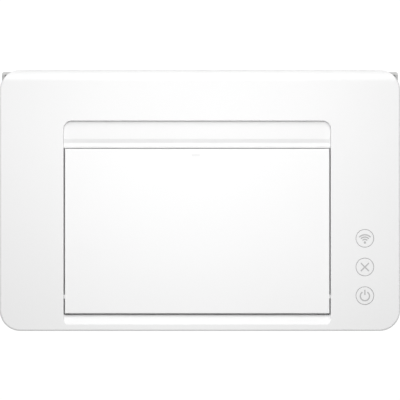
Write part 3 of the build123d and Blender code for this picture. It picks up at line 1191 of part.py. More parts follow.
def scanner_housing():
    """The open-topped box that holds the laser, the polygon mirror and the folding mirror."""
    z0 = SHELF_Z
    half = SCANNER_HALF
    wall = SCANNER_WALL
    box = block(-half, half, SCANNER_FRONT, SCANNER_REAR, z0, z0 + SCANNER_H)
    inside_y = (SCANNER_FRONT + wall, SCANNER_REAR - wall)
    box -= block(-half + wall, half - wall, *inside_y, z0 + wall, z0 + SCANNER_H)
    box -= block(-BEAM_HALF, BEAM_HALF, DRUM_Y - BEAM_SLOT / 2, DRUM_Y + BEAM_SLOT / 2, z0, z0 + wall)
    rest = z0 + wall
    box += rod_z(0, POLYGON_Y, POLYGON_R - 3, rest, rest + POLYGON_POST_H)
    box -= rod_z(0, POLYGON_Y, POLYGON_SHAFT_R + RUNNING, rest + 1, rest + POLYGON_POST_H)
    mirror_y = DRUM_Y - 3
    slab = [(mirror_y - 8, rest), (mirror_y + 1, rest + 9), (mirror_y + 1, rest + 12), (mirror_y - 11, rest)]
    box += side_profile([(y + 1, z) for y, z in slab], -half + wall, -BEAM_HALF - 1)
    box += side_profile([(y + 1, z) for y, z in slab], BEAM_HALF + 1, half - wall)
    laser_x = (-SCANNER_RIB, LASER_LENGTH - SCANNER_RIB)
    laser = block(*laser_x, POLYGON_Y - LASER_HALF, POLYGON_Y + LASER_HALF, rest, rest + LASER_HEIGHT)
    return box + laser


def scanner_cover():
    z0 = SHELF_Z + SCANNER_H
    lid = block(-SCANNER_HALF, SCANNER_HALF, SCANNER_FRONT, SCANNER_REAR, z0, z0 + SCANNER_WALL)
    inner = SCANNER_WALL + FACE_GAP
    rim_z = (z0 - SCANNER_WALL, z0)
    rim_y = (SCANNER_FRONT + inner, SCANNER_REAR - inner)
    rim = block(-SCANNER_HALF + inner, SCANNER_HALF - inner, *rim_y, *rim_z)
    deep = inner + SCANNER_WALL
    rim_y = (SCANNER_FRONT + deep, SCANNER_REAR - deep)
    rim -= block(-SCANNER_HALF + deep, SCANNER_HALF - deep, *rim_y, *rim_z)
    for x in (-SCANNER_RIB, 0, SCANNER_RIB):
        lid += block(x - 1, x + 1, SCANNER_FRONT + 6, SCANNER_REAR - 6, z0, z0 + SCANNER_WALL + 1)
    return lid + rim


def polygon_mirror():
    """The six-sided spinning mirror on its shaft."""
    rest = SHELF_Z + SCANNER_WALL
    low = rest + POLYGON_POST_H
    spin = extrude(Pos(0, POLYGON_Y, low + FACE_GAP) * RegularPolygon(POLYGON_R, 6), amount=POLYGON_H)
    return spin + rod_z(0, POLYGON_Y, POLYGON_SHAFT_R, rest + 1 + FACE_GAP, low + 1 + POLYGON_H)


def fuser_frame():
    """The fuser's housing: an upper and a lower channel round the two rollers, joined by end plates."""
    y0, y1 = FUSER_Y - FUSER_R - 2, FUSER_Y + FUSER_R + 2
    z0, z1 = PRESSURE[1] - FUSER_R - 3, FUSER_Z + FUSER_R + 3
    outline = [(y0, z0), (y1, z0), (y1, z1), (y0, z1)]
    body = side_profile(outline, -FRAME_X, FRAME_X)
    inner = FRAME_X - 3
    for centre in (FUSER, PRESSURE):
        body -= rod_x(centre, FUSER_R + FUSER_GAP, -inner, inner)
        body -= rod_x(centre, SHAFT_R + 0.5, -FRAME_X, FRAME_X)
    nip = (FUSER_Z + PRESSURE[1]) / 2
    body -= block(-inner, inner, y0, y1, nip - 3, nip + 3)
    return body


def transport_guide():
    """The ribbed plate that leads the sheet from the transfer roller to the fuser."""
    y0 = TRANSFER[0] + TRANSFER_R + 2
    y1 = FUSER_Y - FUSER_R - 2 - FACE_GAP
    top = DRUM_Z - DRUM_R - 1
    plate = block(-FRAME_X, FRAME_X, y0, y1, top - 4, top - 2)
    for number in range(-6, 7):
        x = number * RIB_PITCH
        plate += block(x - GUIDE_RIB_T / 2, x + GUIDE_RIB_T / 2, y0, y1, top - 2, top)
    return plate


def main_board():
    """The main board on the right side frame, with chips and the data port."""
    x1 = BOARD_X
    board = block(x1 - BOARD_T, x1, BOARD_FRONT, BODY_REAR - 10, USB_Z - 8, BODY_TOP - 8)
    spacers = [
        rod_x((y, z), SPACER_R, FRAME_OUT, x1 - BOARD_T)
        for y in (BOARD_FRONT + 6, BODY_REAR - 30)
        for z in (USB_Z - 3, BODY_TOP - 13)
    ]
    chips = [
        block(x1, x1 + CHIP_T, BOARD_FRONT + y, BOARD_FRONT + y + side, z, z + side)
        for y, z, side in CHIPS
    ]
    port_x = (INLET_X - USB_W / 2, INLET_X + USB_W / 2)
    port_z = (USB_Z - USB_H / 2, USB_Z + USB_H / 2)
    mouth = BODY_REAR - USB_DEPTH + 4
    port = block(*port_x, BODY_REAR - USB_DEPTH, BODY_REAR, *port_z)
    port -= block(port_x[0] + 1, port_x[1] - 1, mouth, BODY_REAR, port_z[0] + 1, port_z[1] - 1)
    port += block(INLET_X - USB_W / 4, INLET_X + USB_W / 4, mouth, BODY_REAR - 1.5, USB_Z - 1.5, USB_Z + 1.5)
    return [board, *spacers, *chips, port]


def power_board():
    """The power supply board, low on the right side frame, with its large components."""
    x0 = FRAME_OUT + 3
    rear = BOARD_FRONT + POWER_BOARD_LENGTH
    low, high = POWER_BOARD_LEVELS
    board = block(x0, x0 + BOARD_T, BOARD_FRONT, rear, low, high)
    corners = [(y, z) for y in (BOARD_FRONT + 2 * SPACER_R, rear - 2 * SPACER_R) for z in (low + 4, high - 4)]
    spacers = [rod_x(place, SPACER_R, FRAME_OUT, x0) for place in corners]
    top = x0 + BOARD_T
    parts = [rod_x((BOARD_FRONT + y, z), radius, top, top + height) for y, z, radius, height in CANS]
    for y0, y1, z0, z1, height in (TRANSFORMER, HEAT_SINK):
        parts.append(block(top, top + height, BOARD_FRONT + y0, BOARD_FRONT + y1, z0, z1))
    return [board, *spacers, *parts]


def inlet_socket():
    """The mains inlet: a shrouded socket with three flat pins."""
    y0 = BODY_REAR - INLET_DEPTH
    half_w, half_h = INLET_W / 2, INLET_H / 2
    shell = block(INLET_X - half_w, INLET_X + half_w, y0, BODY_REAR, INLET_Z - half_h, INLET_Z + half_h)
    flange_y = BODY_REAR - WALL
    reach = INLET_FLANGE
    shell += block(INLET_X - half_w - reach, INLET_X + half_w + reach, flange_y - reach, flange_y,
                   INLET_Z - half_h - reach, INLET_Z + half_h + reach)
    outline = Pos(INLET_X, INLET_Z) * Rectangle(INLET_W - 4, INLET_H - 3)
    outline = chamfer(outline.vertices().group_by(Axis.X)[0], 4)
    shell -= extrude(Plane.XZ.offset(-BODY_REAR) * outline, amount=INLET_DEPTH - 4)
    for dx, dz in ((1.5, -7), (-2.5, 0), (1.5, 7)):
        x, z = INLET_X + dx, INLET_Z + dz
        shell += block(x - 2, x + 2, y0 + 3, BODY_REAR - 3, z - 1, z + 1)
    return shell


def fan_frame():
    """The square cooling fan behind the slots of the right side cover."""
    x1 = BODY_HALF - WALL
    x0 = x1 - FAN_T
    half = FAN_SIZE / 2
    frame = block(x0, x1, FAN_Y - half, FAN_Y + half, FAN_Z - half, FAN_Z + half)
    frame -= rod_x((FAN_Y, FAN_Z), half - 1.5, x0, x1)
    for arm in (45, 135):
        bar = Pos(x0 + 0.6, FAN_Y, FAN_Z) * Rot(arm, 0, 0) * Box(1.2, FAN_SIZE - 2, 2.4)
        frame += bar
    frame += rod_x((FAN_Y, FAN_Z), 7, x0, x0 + 1.2)
    frame += rod_x((FAN_Y, FAN_Z), 1.2, x0, x1 - 3)
    return frame


def fan_rotor():
    """The fan's hub with its tilted blades."""
    x1 = BODY_HALF - WALL
    x0 = x1 - FAN_T + 1.2 + FACE_GAP
    hub = rod_x((FAN_Y, FAN_Z), 8, x0, x1 - 1)
    blades = FAN_SIZE / 2 - 2.5
    for number in range(FAN_BLADES):
        blade = Pos(0, 0, (blades + 6) / 2) * Rot(0, 0, 35) * Box(FAN_T - 4.5, 1.0, blades - 6)
        hub += Pos((x0 + x1 - 1) / 2, FAN_Y, FAN_Z) * Rot(number * 360 / FAN_BLADES, 0, 0) * blade
    return hub - rod_x((FAN_Y, FAN_Z), 1.2 + RUNNING, x0, x1 - 3 + FACE_GAP)


def lift_springs():
    """Two torsion springs wound round the lift plate's pins."""
    x0 = PLATE_HALF + SPRING_WIRE_R + FACE_GAP
    coil_r = PLATE_PIN_R + SPRING_WIRE_R + 0.2
    pitch = SPRING_WIRE_R * 2 + 0.45
    path = Helix(pitch=pitch, height=pitch * SPRING_TURNS, radius=coil_r)
    start = path @ 0
    profile = Plane(origin=start, z_dir=path % 0) * Circle(SPRING_WIRE_R)
    coil = sweep(profile, path=path, is_frenet=True)
    coil = Pos(x0, PLATE_AXIS_Y, PLATE_AXIS_Z) * Rot(0, 90, 0) * coil
    return coil, mirrored(coil)


save("base_frame", base_frame())
save("rubber_feet", *rubber_feet())
save("front_frame", front_frame())
save("front_door", front_door())
save("left_side_cover", side_cover(-1))
save("right_side_cover", side_cover(1))
save("rear_cover", rear_cover())
save("rear_door", rear_door())
board_solids, board_posts = control_board()
save("top_cover", joined([top_cover(), *board_posts]))
save("control_board", *board_solids)
save("cover_hinge_pins", cover_hinge_pins())
save("exit_hood", hood())
save("output_bed", output_bed())
save("output_flap", output_flap())
save("wireless_button", button(1))
save("cancel_button", button(0))
save("power_button", button(-1))
save("tray_pan", tray_pan())
save("separation_pad", separation_pad())
save("lift_plate", lift_plate())
save("left_paper_guide", paper_guide(-1))
save("right_paper_guide", paper_guide(1))
save("guide_pinion", guide_pinion())
save("left_side_frame", side_frame(-1))
save("right_side_frame", side_frame(1))
save("bearing_bushes", *bearing_bushes())
save("gear_studs", *gear_studs())
save("cover_screws", *cover_screws())
save(
    "pickup_roller",
    roller_with_gear(PICKUP, PICKUP_R, PICKUP_TYRE / 2, PICKUP_TEETH, PICKUP_PHASE, GEAR_A_X),
)
save("feed_roller", roller_with_gear(FEED, FEED_R, ROLLER_HALF, FEED_TEETH, FEED_PHASE, GEAR_A_X))
save("feed_idler_roller", roller(FEED_IDLER_ROLLER, FEED_R, ROLLER_HALF, -FRAME_OUT))
save("feed_idler_gear", idler(FEED_TEETH, FEED_IDLER, FEED_IDLER_PHASE, GEAR_A_X))
save(
    "transfer_roller",
    roller_with_gear(TRANSFER, TRANSFER_R, ROLLER_HALF, SMALL_TEETH, TRANSFER_PHASE, GEAR_A_X),
)
save("drum", roller(DRUM, DRUM_R, ROLLER_HALF, GEAR_A_X))
save("drum_gear", gear(DRUM_TEETH, DRUM, GEAR_A_X, GEAR_A_X + GEAR_W, DRUM_PHASE, SHAFT_R))
save(
    "developer_roller",
    roller_with_gear(DEVELOPER, DEVELOPER_R, ROLLER_HALF, SMALL_TEETH, DEVELOPER_PHASE, GEAR_A_X),
)
save("toner_cartridge", toner_cartridge())
save("reduction_gear", reduction_gear())
save("heat_roller", roller(FUSER, FUSER_R, ROLLER_HALF, GEAR_B_X))
save("pressure_roller", roller(PRESSURE, FUSER_R, ROLLER_HALF, -FRAME_OUT))
save("fuser_gear", fuser_gear())
save("fuser_frame", fuser_frame())
save("fuser_idler_gear", idler(FUSER_IDLER_TEETH, FUSER_IDLER, FUSER_IDLER_PHASE, GEAR_A_X))
save("lower_exit_gear", idler(EXIT_IDLER_TEETH, LOWER_IDLER, LOWER_IDLER_PHASE, GEAR_B_X))
save("upper_exit_gear", idler(EXIT_IDLER_TEETH, UPPER_IDLER, UPPER_IDLER_PHASE, GEAR_B_X))
EXIT_TYRES = [(x - EXIT_TYRE / 2, x + EXIT_TYRE / 2) for x in (-75, -25, 25, 75)]
save(
    "exit_roller",
    roller_with_gear(EXIT, EXIT_R, ROLLER_HALF, SMALL_TEETH, EXIT_PHASE, GEAR_B_X, EXIT_TYRES),
)
save("exit_idler_roller", roller(EXIT_IDLER, EXIT_IDLER_R, ROLLER_HALF, -FRAME_OUT, EXIT_TYRES))
motor_plate, motor_case, motor_pinion = motor_parts()
save("main_motor", motor_plate, motor_case)
save("motor_pinion", motor_pinion)
save("transport_guide", transport_guide())
save("scanner_shelf", scanner_shelf())
save("scanner_housing", scanner_housing())
save("scanner_cover", scanner_cover())
save("polygon_mirror", polygon_mirror())
save("main_board", *main_board())
save("power_board", *power_board())
save("inlet_socket", inlet_socket())
save("fan_frame", fan_frame())
save("fan_rotor", fan_rotor())
left_spring, right_spring = lift_springs()
save("lift_springs", left_spring, right_spring)
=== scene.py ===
import math

import bmesh
import bpy
from mathutils import Matrix, Vector


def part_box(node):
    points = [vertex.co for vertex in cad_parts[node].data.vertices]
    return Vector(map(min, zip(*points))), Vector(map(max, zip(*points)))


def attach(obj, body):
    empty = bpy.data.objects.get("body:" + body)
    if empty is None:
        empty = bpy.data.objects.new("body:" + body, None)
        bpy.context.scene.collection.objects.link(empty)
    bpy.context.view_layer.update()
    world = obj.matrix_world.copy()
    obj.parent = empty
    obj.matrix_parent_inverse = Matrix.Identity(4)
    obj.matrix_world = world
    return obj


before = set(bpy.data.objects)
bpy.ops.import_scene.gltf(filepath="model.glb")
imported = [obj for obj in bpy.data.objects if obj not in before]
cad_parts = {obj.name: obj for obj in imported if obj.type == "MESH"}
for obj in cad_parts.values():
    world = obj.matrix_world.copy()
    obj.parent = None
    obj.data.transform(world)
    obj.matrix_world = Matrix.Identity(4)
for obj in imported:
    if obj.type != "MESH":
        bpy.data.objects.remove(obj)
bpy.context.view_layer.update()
bpy.context.scene.view_settings.view_transform = "Standard"


# The top cover and the exit hood behind the flap are white injection-moulded ABS. Their moulds
# are spark eroded to a fine satin grain.
FLOW_SPACING = 0.07  # of the faint clouds that the melt leaves in the colour
GRAIN_SHEEN = 0.06  # how far the grain moves the roughness to either side
GRAIN_STRENGTH = 0.6
NOISE_DETAIL = 2.0
MIX_A, MIX_B, MIX_RESULT = 6, 7, 2  # the colour sockets of a mix node


def linear(code):
    """A colour written as #rrggbb in sRGB, as Blender's linear red, green, blue and alpha."""
    levels = [int(code[at:at + 2], 16) / 255 for at in (1, 3, 5)]
    return [c / 12.92 if c < 0.04045 else ((c + 0.055) / 1.055) ** 2.4 for c in levels] + [1.0]


def add_node(material, kind, inputs=None, **settings):
    """Adds a node with its settings; inputs gives each socket a value, or the socket that feeds it."""
    tree = material.node_tree
    made = tree.nodes.new(kind)
    for name, value in settings.items():
        setattr(made, name, value)
    for place, value in (inputs or {}).items():
        if isinstance(value, bpy.types.NodeSocket):
            tree.links.new(value, made.inputs[place])
        else:
            made.inputs[place].default_value = value
    return made


def new_material(name, colour, roughness, ior=1.5, metallic=0.0):
    """An even material, and its surface shader."""
    material = bpy.data.materials.new(name)
    material.use_nodes = True
    surface = material.node_tree.nodes["Principled BSDF"]
    surface.inputs["Base Color"].default_value = linear(colour)
    surface.inputs["Roughness"].default_value = roughness
    surface.inputs["IOR"].default_value = ior
    surface.inputs["Metallic"].default_value = metallic
    return material, surface


def object_place(material):
    return add_node(material, "ShaderNodeTexCoord").outputs["Object"]


def add_noise(material, place, spacing):
    """Noise with its features about one spacing apart, in metres."""
    return add_node(
        material, "ShaderNodeTexNoise", {"Vector": place, "Scale": 1 / spacing, "Detail": NOISE_DETAIL}
    ).outputs["Fac"]


def tint(material, surface, level, colour, shade):
    """Colours the surface from one tone to the other as the level goes from 0 to 1."""
    tone = add_node(
        material, "ShaderNodeMix", {0: level, MIX_A: linear(colour), MIX_B: linear(shade)},
        data_type="RGBA",
    )
    material.node_tree.links.new(tone.outputs[MIX_RESULT], surface.inputs["Base Color"])


def vary_roughness(material, surface, level, roughness, spread):
    """Moves the surface's roughness to either side as the level goes from 0 to 1."""
    sheen = add_node(
        material, "ShaderNodeMapRange",
        {"Value": level, "To Min": roughness - spread, "To Max": roughness + spread},
    )
    material.node_tree.links.new(sheen.outputs[0], surface.inputs["Roughness"])


def moulded_plastic(name, colour, shade, roughness, grain, relief, ior=1.53):
    """Moulded plastic: grain is the spacing of the mould's texture and relief its depth, in metres."""
    material, surface = new_material(name, colour, roughness, ior)
    place = object_place(material)
    tint(material, surface, add_noise(material, place, FLOW_SPACING), colour, shade)
    pits = add_noise(material, place, grain)
    vary_roughness(material, surface, pits, roughness, GRAIN_SHEEN)
    bump = add_node(
        material, "ShaderNodeBump", {"Height": pits, "Strength": GRAIN_STRENGTH, "Distance": relief}
    )
    material.node_tree.links.new(bump.outputs[0], surface.inputs["Normal"])
    return material


def dress(material, *names):
    """Gives CAD nodes a material."""
    for name in names:
        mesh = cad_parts[name].data
        mesh.materials.clear()
        mesh.materials.append(material)


COVER_ABS = moulded_plastic("abs_cover_spark_eroded", "#f4f4f4", "#f1f1f1", 0.42, 0.0006, 0.00002)
dress(COVER_ABS, "top_cover", "exit_hood")


# The output flap is a flat ABS moulding with a smoother face than the cover, hinged on two pins
# in the recess walls. A small mark near its rear edge shows where to lift it; its pale grey is
# painted shade, standing in for the shading of an embossed mark.
MARK_HEIGHT, MARK_ROUGHNESS, MARK_SPECKLE = 0.00006, 0.5, 0.0004
MARK_X, MARK_FROM_REAR = -0.0035, 0.0052
MARK_HALF_X, MARK_HALF_Y = 0.0033, 0.001
HINGE_FROM_FRONT = 0.0139
TAB_FROM_WALL, TAB_HALF_X, TAB_HALF_Y, TAB_EDGE = 0.0004, 0.00035, 0.0016, 0.0003
TAB_TOP_DROP, TAB_FOOT_DROP = 0.0006, 0.0060


def add_piece(name, shape, material, body):
    """Turns a bmesh into a piece that rides on a body and has the given material."""
    bmesh.ops.recalc_face_normals(shape, faces=shape.faces[:])
    mesh = bpy.data.meshes.new(name)
    shape.to_mesh(mesh)
    shape.free()
    mesh.materials.append(material)
    piece = bpy.data.objects.new(name, mesh)
    bpy.context.scene.collection.objects.link(piece)
    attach(piece, body)
    return piece


def edges_of(verts):
    return list(dict.fromkeys(edge for vert in verts for edge in vert.link_edges))


def add_block(shape, low, high, edge=0.0, steps=2):
    """A block with rounded edges between two corners; gives back its vertices."""
    made = bmesh.ops.create_cube(shape, size=1.0)["verts"]
    size = [b - a for a, b in zip(low, high)]
    middle = [(a + b) / 2 for a, b in zip(low, high)]
    bmesh.ops.scale(shape, vec=size, verts=made)
    bmesh.ops.translate(shape, vec=middle, verts=made)
    if edge:
        rounded = bmesh.ops.bevel(
            shape, geom=edges_of(made), offset=edge, segments=steps, profile=0.5, affect="EDGES",
            material=-1,
        )
        made = list(dict.fromkeys(vert for face in rounded["faces"] for vert in face.verts))
    return made


def print_and_painted_shade(name, colour, speckle):
    """Pad print ink, with the fine dots of the print; the flap's lift mark uses it as painted shade."""
    material, surface = new_material(name, colour, MARK_ROUGHNESS)
    tint(material, surface, add_noise(material, object_place(material), MARK_SPECKLE), colour, speckle)
    return material


FLAP_ABS = moulded_plastic("abs_flap_satin", "#f8f8f8", "#f5f5f5", 0.36, 0.0005, 0.000012)
dress(FLAP_ABS, "output_flap")
# The lift mark's pale grey is painted shade: it stands in for the shading of an embossed mark.
LIFT_MARK_PAINTED_SHADE = print_and_painted_shade("painted_shade_lift_mark_pale", "#ececec", "#f0f0f0")
flap_low, flap_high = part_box("output_flap")
mark_y = flap_high[1] - MARK_FROM_REAR
mark = bmesh.new()
add_block(
    mark, (MARK_X - MARK_HALF_X, mark_y - MARK_HALF_Y, flap_high[2]),
    (MARK_X + MARK_HALF_X, mark_y + MARK_HALF_Y, flap_high[2] + MARK_HEIGHT),
)
add_piece("flap_lift_mark_painted_shade", mark, LIFT_MARK_PAINTED_SHADE, "flap")

hood_low, hood_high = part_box("exit_hood")
hinge_y = flap_low[1] + HINGE_FROM_FRONT
tabs = bmesh.new()
for x in (hood_low[0] + TAB_FROM_WALL, hood_high[0] - TAB_FROM_WALL):
    add_block(
        tabs, (x - TAB_HALF_X, hinge_y - TAB_HALF_Y, flap_high[2] - TAB_FOOT_DROP),
        (x + TAB_HALF_X, hinge_y + TAB_HALF_Y, flap_high[2] - TAB_TOP_DROP), TAB_EDGE,
    )
add_piece("flap_hinge_tabs", tabs, FLAP_ABS, "flap")


# Three round push buttons of white ABS stand in holes of the cover. The grey ring sunk in the
# gap round each button is painted shade, standing in for the shadow down the gap. The symbols,
# a wireless fan, a cross and the standard power mark, are light grey print.
BUTTON_NAMES = ("wireless_button", "cancel_button", "power_button")
GAP_SHADE_INNER, GAP_SHADE_OUTER, GAP_SHADE_STEPS = 0.00722, 0.00758, 72
GAP_SHADE_TOP_DROP, GAP_SHADE_FOOT_DROP = 0.0003, 0.0014
LINE_HALF = 0.00055
WAVE_RADII, WAVE_START, WAVE_SWEEP, WAVE_STEPS = (0.0026, 0.0045, 0.0064), 43, 94, 24
FAN_DROP, DOT_RADIUS, DOT_STEPS, WELD_REACH = 0.0034, 0.001, 32, 1e-7
CROSS_REACH, CROSS_TURN = 0.0047, 45
RING_RADIUS, RING_DROP, RING_START, RING_SWEEP, RING_STEPS = 0.0038, 0.0003, 122, 296, 48
STEM_FOOT, STEM_TOP = 0.0006, 0.0049


def add_arc(shape, centre, inner, outer, z0, z1, start, sweep, steps):
    """A flat ring or part of one about a vertical axis: a rectangle spun through the sweep."""
    foot = Vector((*centre, 0))
    made = bmesh.ops.create_grid(shape, x_segments=1, y_segments=1, size=0.5)["verts"]
    faces = list(dict.fromkeys(face for vert in made for face in vert.link_faces))
    edges = edges_of(made)
    stand = Matrix.Rotation(math.pi / 2, 3, "X")
    turn = Matrix.Rotation(math.radians(start), 3, "Z")
    bmesh.ops.scale(shape, vec=(outer - inner, z1 - z0, 1), verts=made)
    bmesh.ops.rotate(shape, cent=(0, 0, 0), matrix=stand, verts=made)
    bmesh.ops.translate(shape, vec=((inner + outer) / 2, 0, (z0 + z1) / 2), verts=made)
    bmesh.ops.rotate(shape, cent=(0, 0, 0), matrix=turn, verts=made)
    bmesh.ops.translate(shape, vec=foot, verts=made)
    full = abs(sweep) >= 360
    if full:
        bmesh.ops.delete(shape, geom=faces, context="FACES_ONLY")
        faces = []
    bmesh.ops.spin(
        shape, geom=made + edges + faces, cent=foot, axis=(0, 0, 1), angle=math.radians(sweep),
        steps=steps, use_merge=full, use_duplicate=False,
    )


def button_middle(name):
    """The middle of a button's top face."""
    low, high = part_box(name)
    return (low[0] + high[0]) / 2, (low[1] + high[1]) / 2, high[2]


BUTTON_ABS = moulded_plastic("abs_button_polished", "#f3f3f3", "#f0f0f0", 0.3, 0.0005, 0.000008)
dress(BUTTON_ABS, *BUTTON_NAMES)
INK = print_and_painted_shade("pad_print_ink_grey", "#c2c2c2", "#bbbbbb")
# This grey is painted shade: the ring stands in for the shadow in the gap round each button.
BUTTON_GAP_SHADE = moulded_plastic("painted_shade_button_gap", "#a6a6a6", "#a0a0a0", 0.6, 0.0004, 0.00001)
cover_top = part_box("top_cover")[1][2]

# A painted-shade ring in the gap round each button.
gap_shade_rings = bmesh.new()
for name in BUTTON_NAMES:
    x, y, _ = button_middle(name)
    add_arc(
        gap_shade_rings, (x, y), GAP_SHADE_INNER, GAP_SHADE_OUTER, cover_top - GAP_SHADE_FOOT_DROP, cover_top - GAP_SHADE_TOP_DROP,
        0, 360, GAP_SHADE_STEPS,
    )
add_piece("button_gap_painted_shade", gap_shade_rings, BUTTON_GAP_SHADE, "cover")

x, y, z = button_middle("wireless_button")
fan_foot = y - FAN_DROP
fan = bmesh.new()
for radius in WAVE_RADII:
    add_arc(
        fan, (x, fan_foot), radius - LINE_HALF, radius + LINE_HALF, z, z + MARK_HEIGHT,
        WAVE_START, WAVE_SWEEP, WAVE_STEPS,
    )
add_arc(fan, (x, fan_foot), 0.0, DOT_RADIUS, z, z + MARK_HEIGHT, 0, 360, DOT_STEPS)
bmesh.ops.remove_doubles(fan, verts=fan.verts[:], dist=WELD_REACH)
add_piece("wireless_symbol", fan, INK, "wireless_key")

x, y, z = button_middle("cancel_button")
CROSS_BARS = (
    (CROSS_TURN, -CROSS_REACH, CROSS_REACH),
    (-CROSS_TURN, -CROSS_REACH, -LINE_HALF),
    (-CROSS_TURN, LINE_HALF, CROSS_REACH),
)
cross = bmesh.new()
for turn, start, end in CROSS_BARS:
    bar = add_block(cross, (start, -LINE_HALF, z), (end, LINE_HALF, z + MARK_HEIGHT))
    way = Matrix.Rotation(math.radians(turn), 3, "Z")
    bmesh.ops.rotate(cross, cent=(0, 0, 0), matrix=way, verts=bar)
    bmesh.ops.translate(cross, vec=(x, y, 0), verts=bar)
add_piece("cancel_symbol", cross, INK, "cancel_key")

x, y, z = button_middle("power_button")
power = bmesh.new()
add_arc(
    power, (x, y - RING_DROP), RING_RADIUS - LINE_HALF, RING_RADIUS + LINE_HALF, z, z + MARK_HEIGHT,
    RING_START, RING_SWEEP, RING_STEPS,
)
add_block(power, (x - LINE_HALF, y + STEM_FOOT, z), (x + LINE_HALF, y + STEM_TOP, z + MARK_HEIGHT))
add_piece("power_symbol", power, INK, "power_key")


# The lower casing, of ABS in a slightly greyer white, is a front frame and two side covers with a
# tray door. The rear cover and its access door, which has ribs to grip, are light grey.
GRIP_RIBS, GRIP_PITCH, GRIP_TOP_DROP = 4, 0.003, 0.006
GRIP_HALF_X, GRIP_HALF_Z, GRIP_EDGE = 0.022, 0.0006, 0.0004
GRIP_SUNK, GRIP_PROUD = 0.0005, 0.0007

BODY_ABS = moulded_plastic("abs_body_spark_eroded", "#ebebea", "#e8e8e7", 0.45, 0.0007, 0.000025)
dress(BODY_ABS, "front_frame", "left_side_cover", "right_side_cover", "front_door")
REAR_ABS = moulded_plastic("abs_rear_grey", "#d9d9d8", "#d5d5d4", 0.5, 0.0007, 0.000025)
dress(REAR_ABS, "rear_cover", "rear_door")
door_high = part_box("rear_door")[1]
grip = bmesh.new()
for step in range(GRIP_RIBS):
    z = door_high[2] - GRIP_TOP_DROP - GRIP_PITCH * step
    add_block(
        grip, (-GRIP_HALF_X, door_high[1] - GRIP_SUNK, z - GRIP_HALF_Z),
        (GRIP_HALF_X, door_high[1] + GRIP_PROUD, z + GRIP_HALF_Z), GRIP_EDGE,
    )
add_piece("rear_door_grip_ribs", grip, REAR_ABS, "access_door")


# The output bed is a white ABS tub that hangs under the cover's rim, with ribs along its slope
# that the sheets slide on.
BED_FRONT_DROP, BED_REAR_DROP = 0.020, 0.029
BED_FRONT_INSET, BED_REAR_GAP = 0.0370, 0.001
BED_RIBS_A_SIDE, BED_RIB_PITCH, BED_MIDDLE_X = 5, 0.018, -0.0023
BED_RIB_HALF, BED_RIB_SUNK, BED_RIB_PROUD, BED_RIB_EDGE = 0.0007, 0.0006, 0.0011, 0.0004

BED_ABS = moulded_plastic("abs_bed_satin", "#e6e6e6", "#e3e3e3", 0.4, 0.0006, 0.00002)
dress(BED_ABS, "output_bed")
bed_front_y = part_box("output_bed")[0][1] + BED_FRONT_INSET
bed_rear_y = hood_low[1] - BED_REAR_GAP
bed_front_z, bed_rear_z = cover_top - BED_FRONT_DROP, cover_top - BED_REAR_DROP
bed_fall = math.atan2(bed_front_z - bed_rear_z, bed_rear_y - bed_front_y)
slope = Matrix.Rotation(-bed_fall, 3, "X")
ribs = bmesh.new()
for step in range(-BED_RIBS_A_SIDE, BED_RIBS_A_SIDE + 1):
    x = step * BED_RIB_PITCH + BED_MIDDLE_X
    rib = add_block(
        ribs, (x - BED_RIB_HALF, bed_front_y, -BED_RIB_SUNK),
        (x + BED_RIB_HALF, bed_rear_y, BED_RIB_PROUD), BED_RIB_EDGE,
    )
    bmesh.ops.rotate(ribs, cent=(0, bed_front_y, 0), matrix=slope, verts=rib)
    bmesh.ops.translate(ribs, vec=(0, 0, bed_front_z), verts=rib)
add_piece("output_bed_ribs", ribs, BED_ABS, "cover")


# The base, the tray and the inner frames are dark glass-filled plastic, stiff and dull, with the
# grey clouds that the glass leaves at the surface.
FRAME_PLASTIC = moulded_plastic(
    "glass_filled_frame_plastic", "#2b2b2d", "#333335", 0.5, 0.0008, 0.00003
)
dress(
    FRAME_PLASTIC, "base_frame", "tray_pan", "transport_guide", "fuser_frame", "left_side_frame",
    "right_side_frame", "left_paper_guide", "right_paper_guide", "fan_frame", "fan_rotor",
    "scanner_housing",
)


# The toner cartridge is black high-impact polystyrene, with ribs on its handle for the fingers.
HANDLE_DROP, HANDLE_FRONT, HANDLE_REAR = 0.011, 0.001, 0.009
HANDLE_RIBS_A_SIDE, HANDLE_PITCH, HANDLE_RIB_HALF, HANDLE_RIB_EDGE = 5, 0.007, 0.0006, 0.0003
HANDLE_RIB_SUNK, HANDLE_RIB_PROUD = 0.0003, 0.0007

CARTRIDGE_PLASTIC = moulded_plastic(
    "polystyrene_cartridge_black", "#18181a", "#1f1f22", 0.38, 0.0005, 0.00002
)
dress(CARTRIDGE_PLASTIC, "toner_cartridge")
cartridge_low, cartridge_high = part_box("toner_cartridge")
handle_top = cartridge_high[2] - HANDLE_DROP
handle_ribs = bmesh.new()
for step in range(-HANDLE_RIBS_A_SIDE, HANDLE_RIBS_A_SIDE + 1):
    x = step * HANDLE_PITCH
    add_block(
        handle_ribs,
        (x - HANDLE_RIB_HALF, cartridge_low[1] + HANDLE_FRONT, handle_top - HANDLE_RIB_SUNK),
        (x + HANDLE_RIB_HALF, cartridge_low[1] + HANDLE_REAR, handle_top + HANDLE_RIB_PROUD),
        HANDLE_RIB_EDGE,
    )
add_piece("cartridge_handle_ribs", handle_ribs, CARTRIDGE_PLASTIC, "root")


# The gears are natural acetal, milky and slightly waxy.
ACETAL = moulded_plastic("acetal_gear_natural", "#e4e2da", "#dddbd1", 0.32, 0.001, 0.000006, 1.48)
dress(
    ACETAL, "guide_pinion", "feed_idler_gear", "drum_gear", "reduction_gear", "fuser_gear",
    "fuser_idler_gear", "lower_exit_gear", "upper_exit_gear",
)


# The rollers are ground rubber, foam or coated sleeves on bright steel shafts, and some of them
# carry an acetal gear at their left end.
SHAFT_EDGE = 0.0032  # steel inside this radius
GEAR_START = -0.1364  # acetal to the left of this x


def add_math(material, operation, first, second):
    return add_node(
        material, "ShaderNodeMath", {0: first, 1: second}, operation=operation
    ).outputs[0]


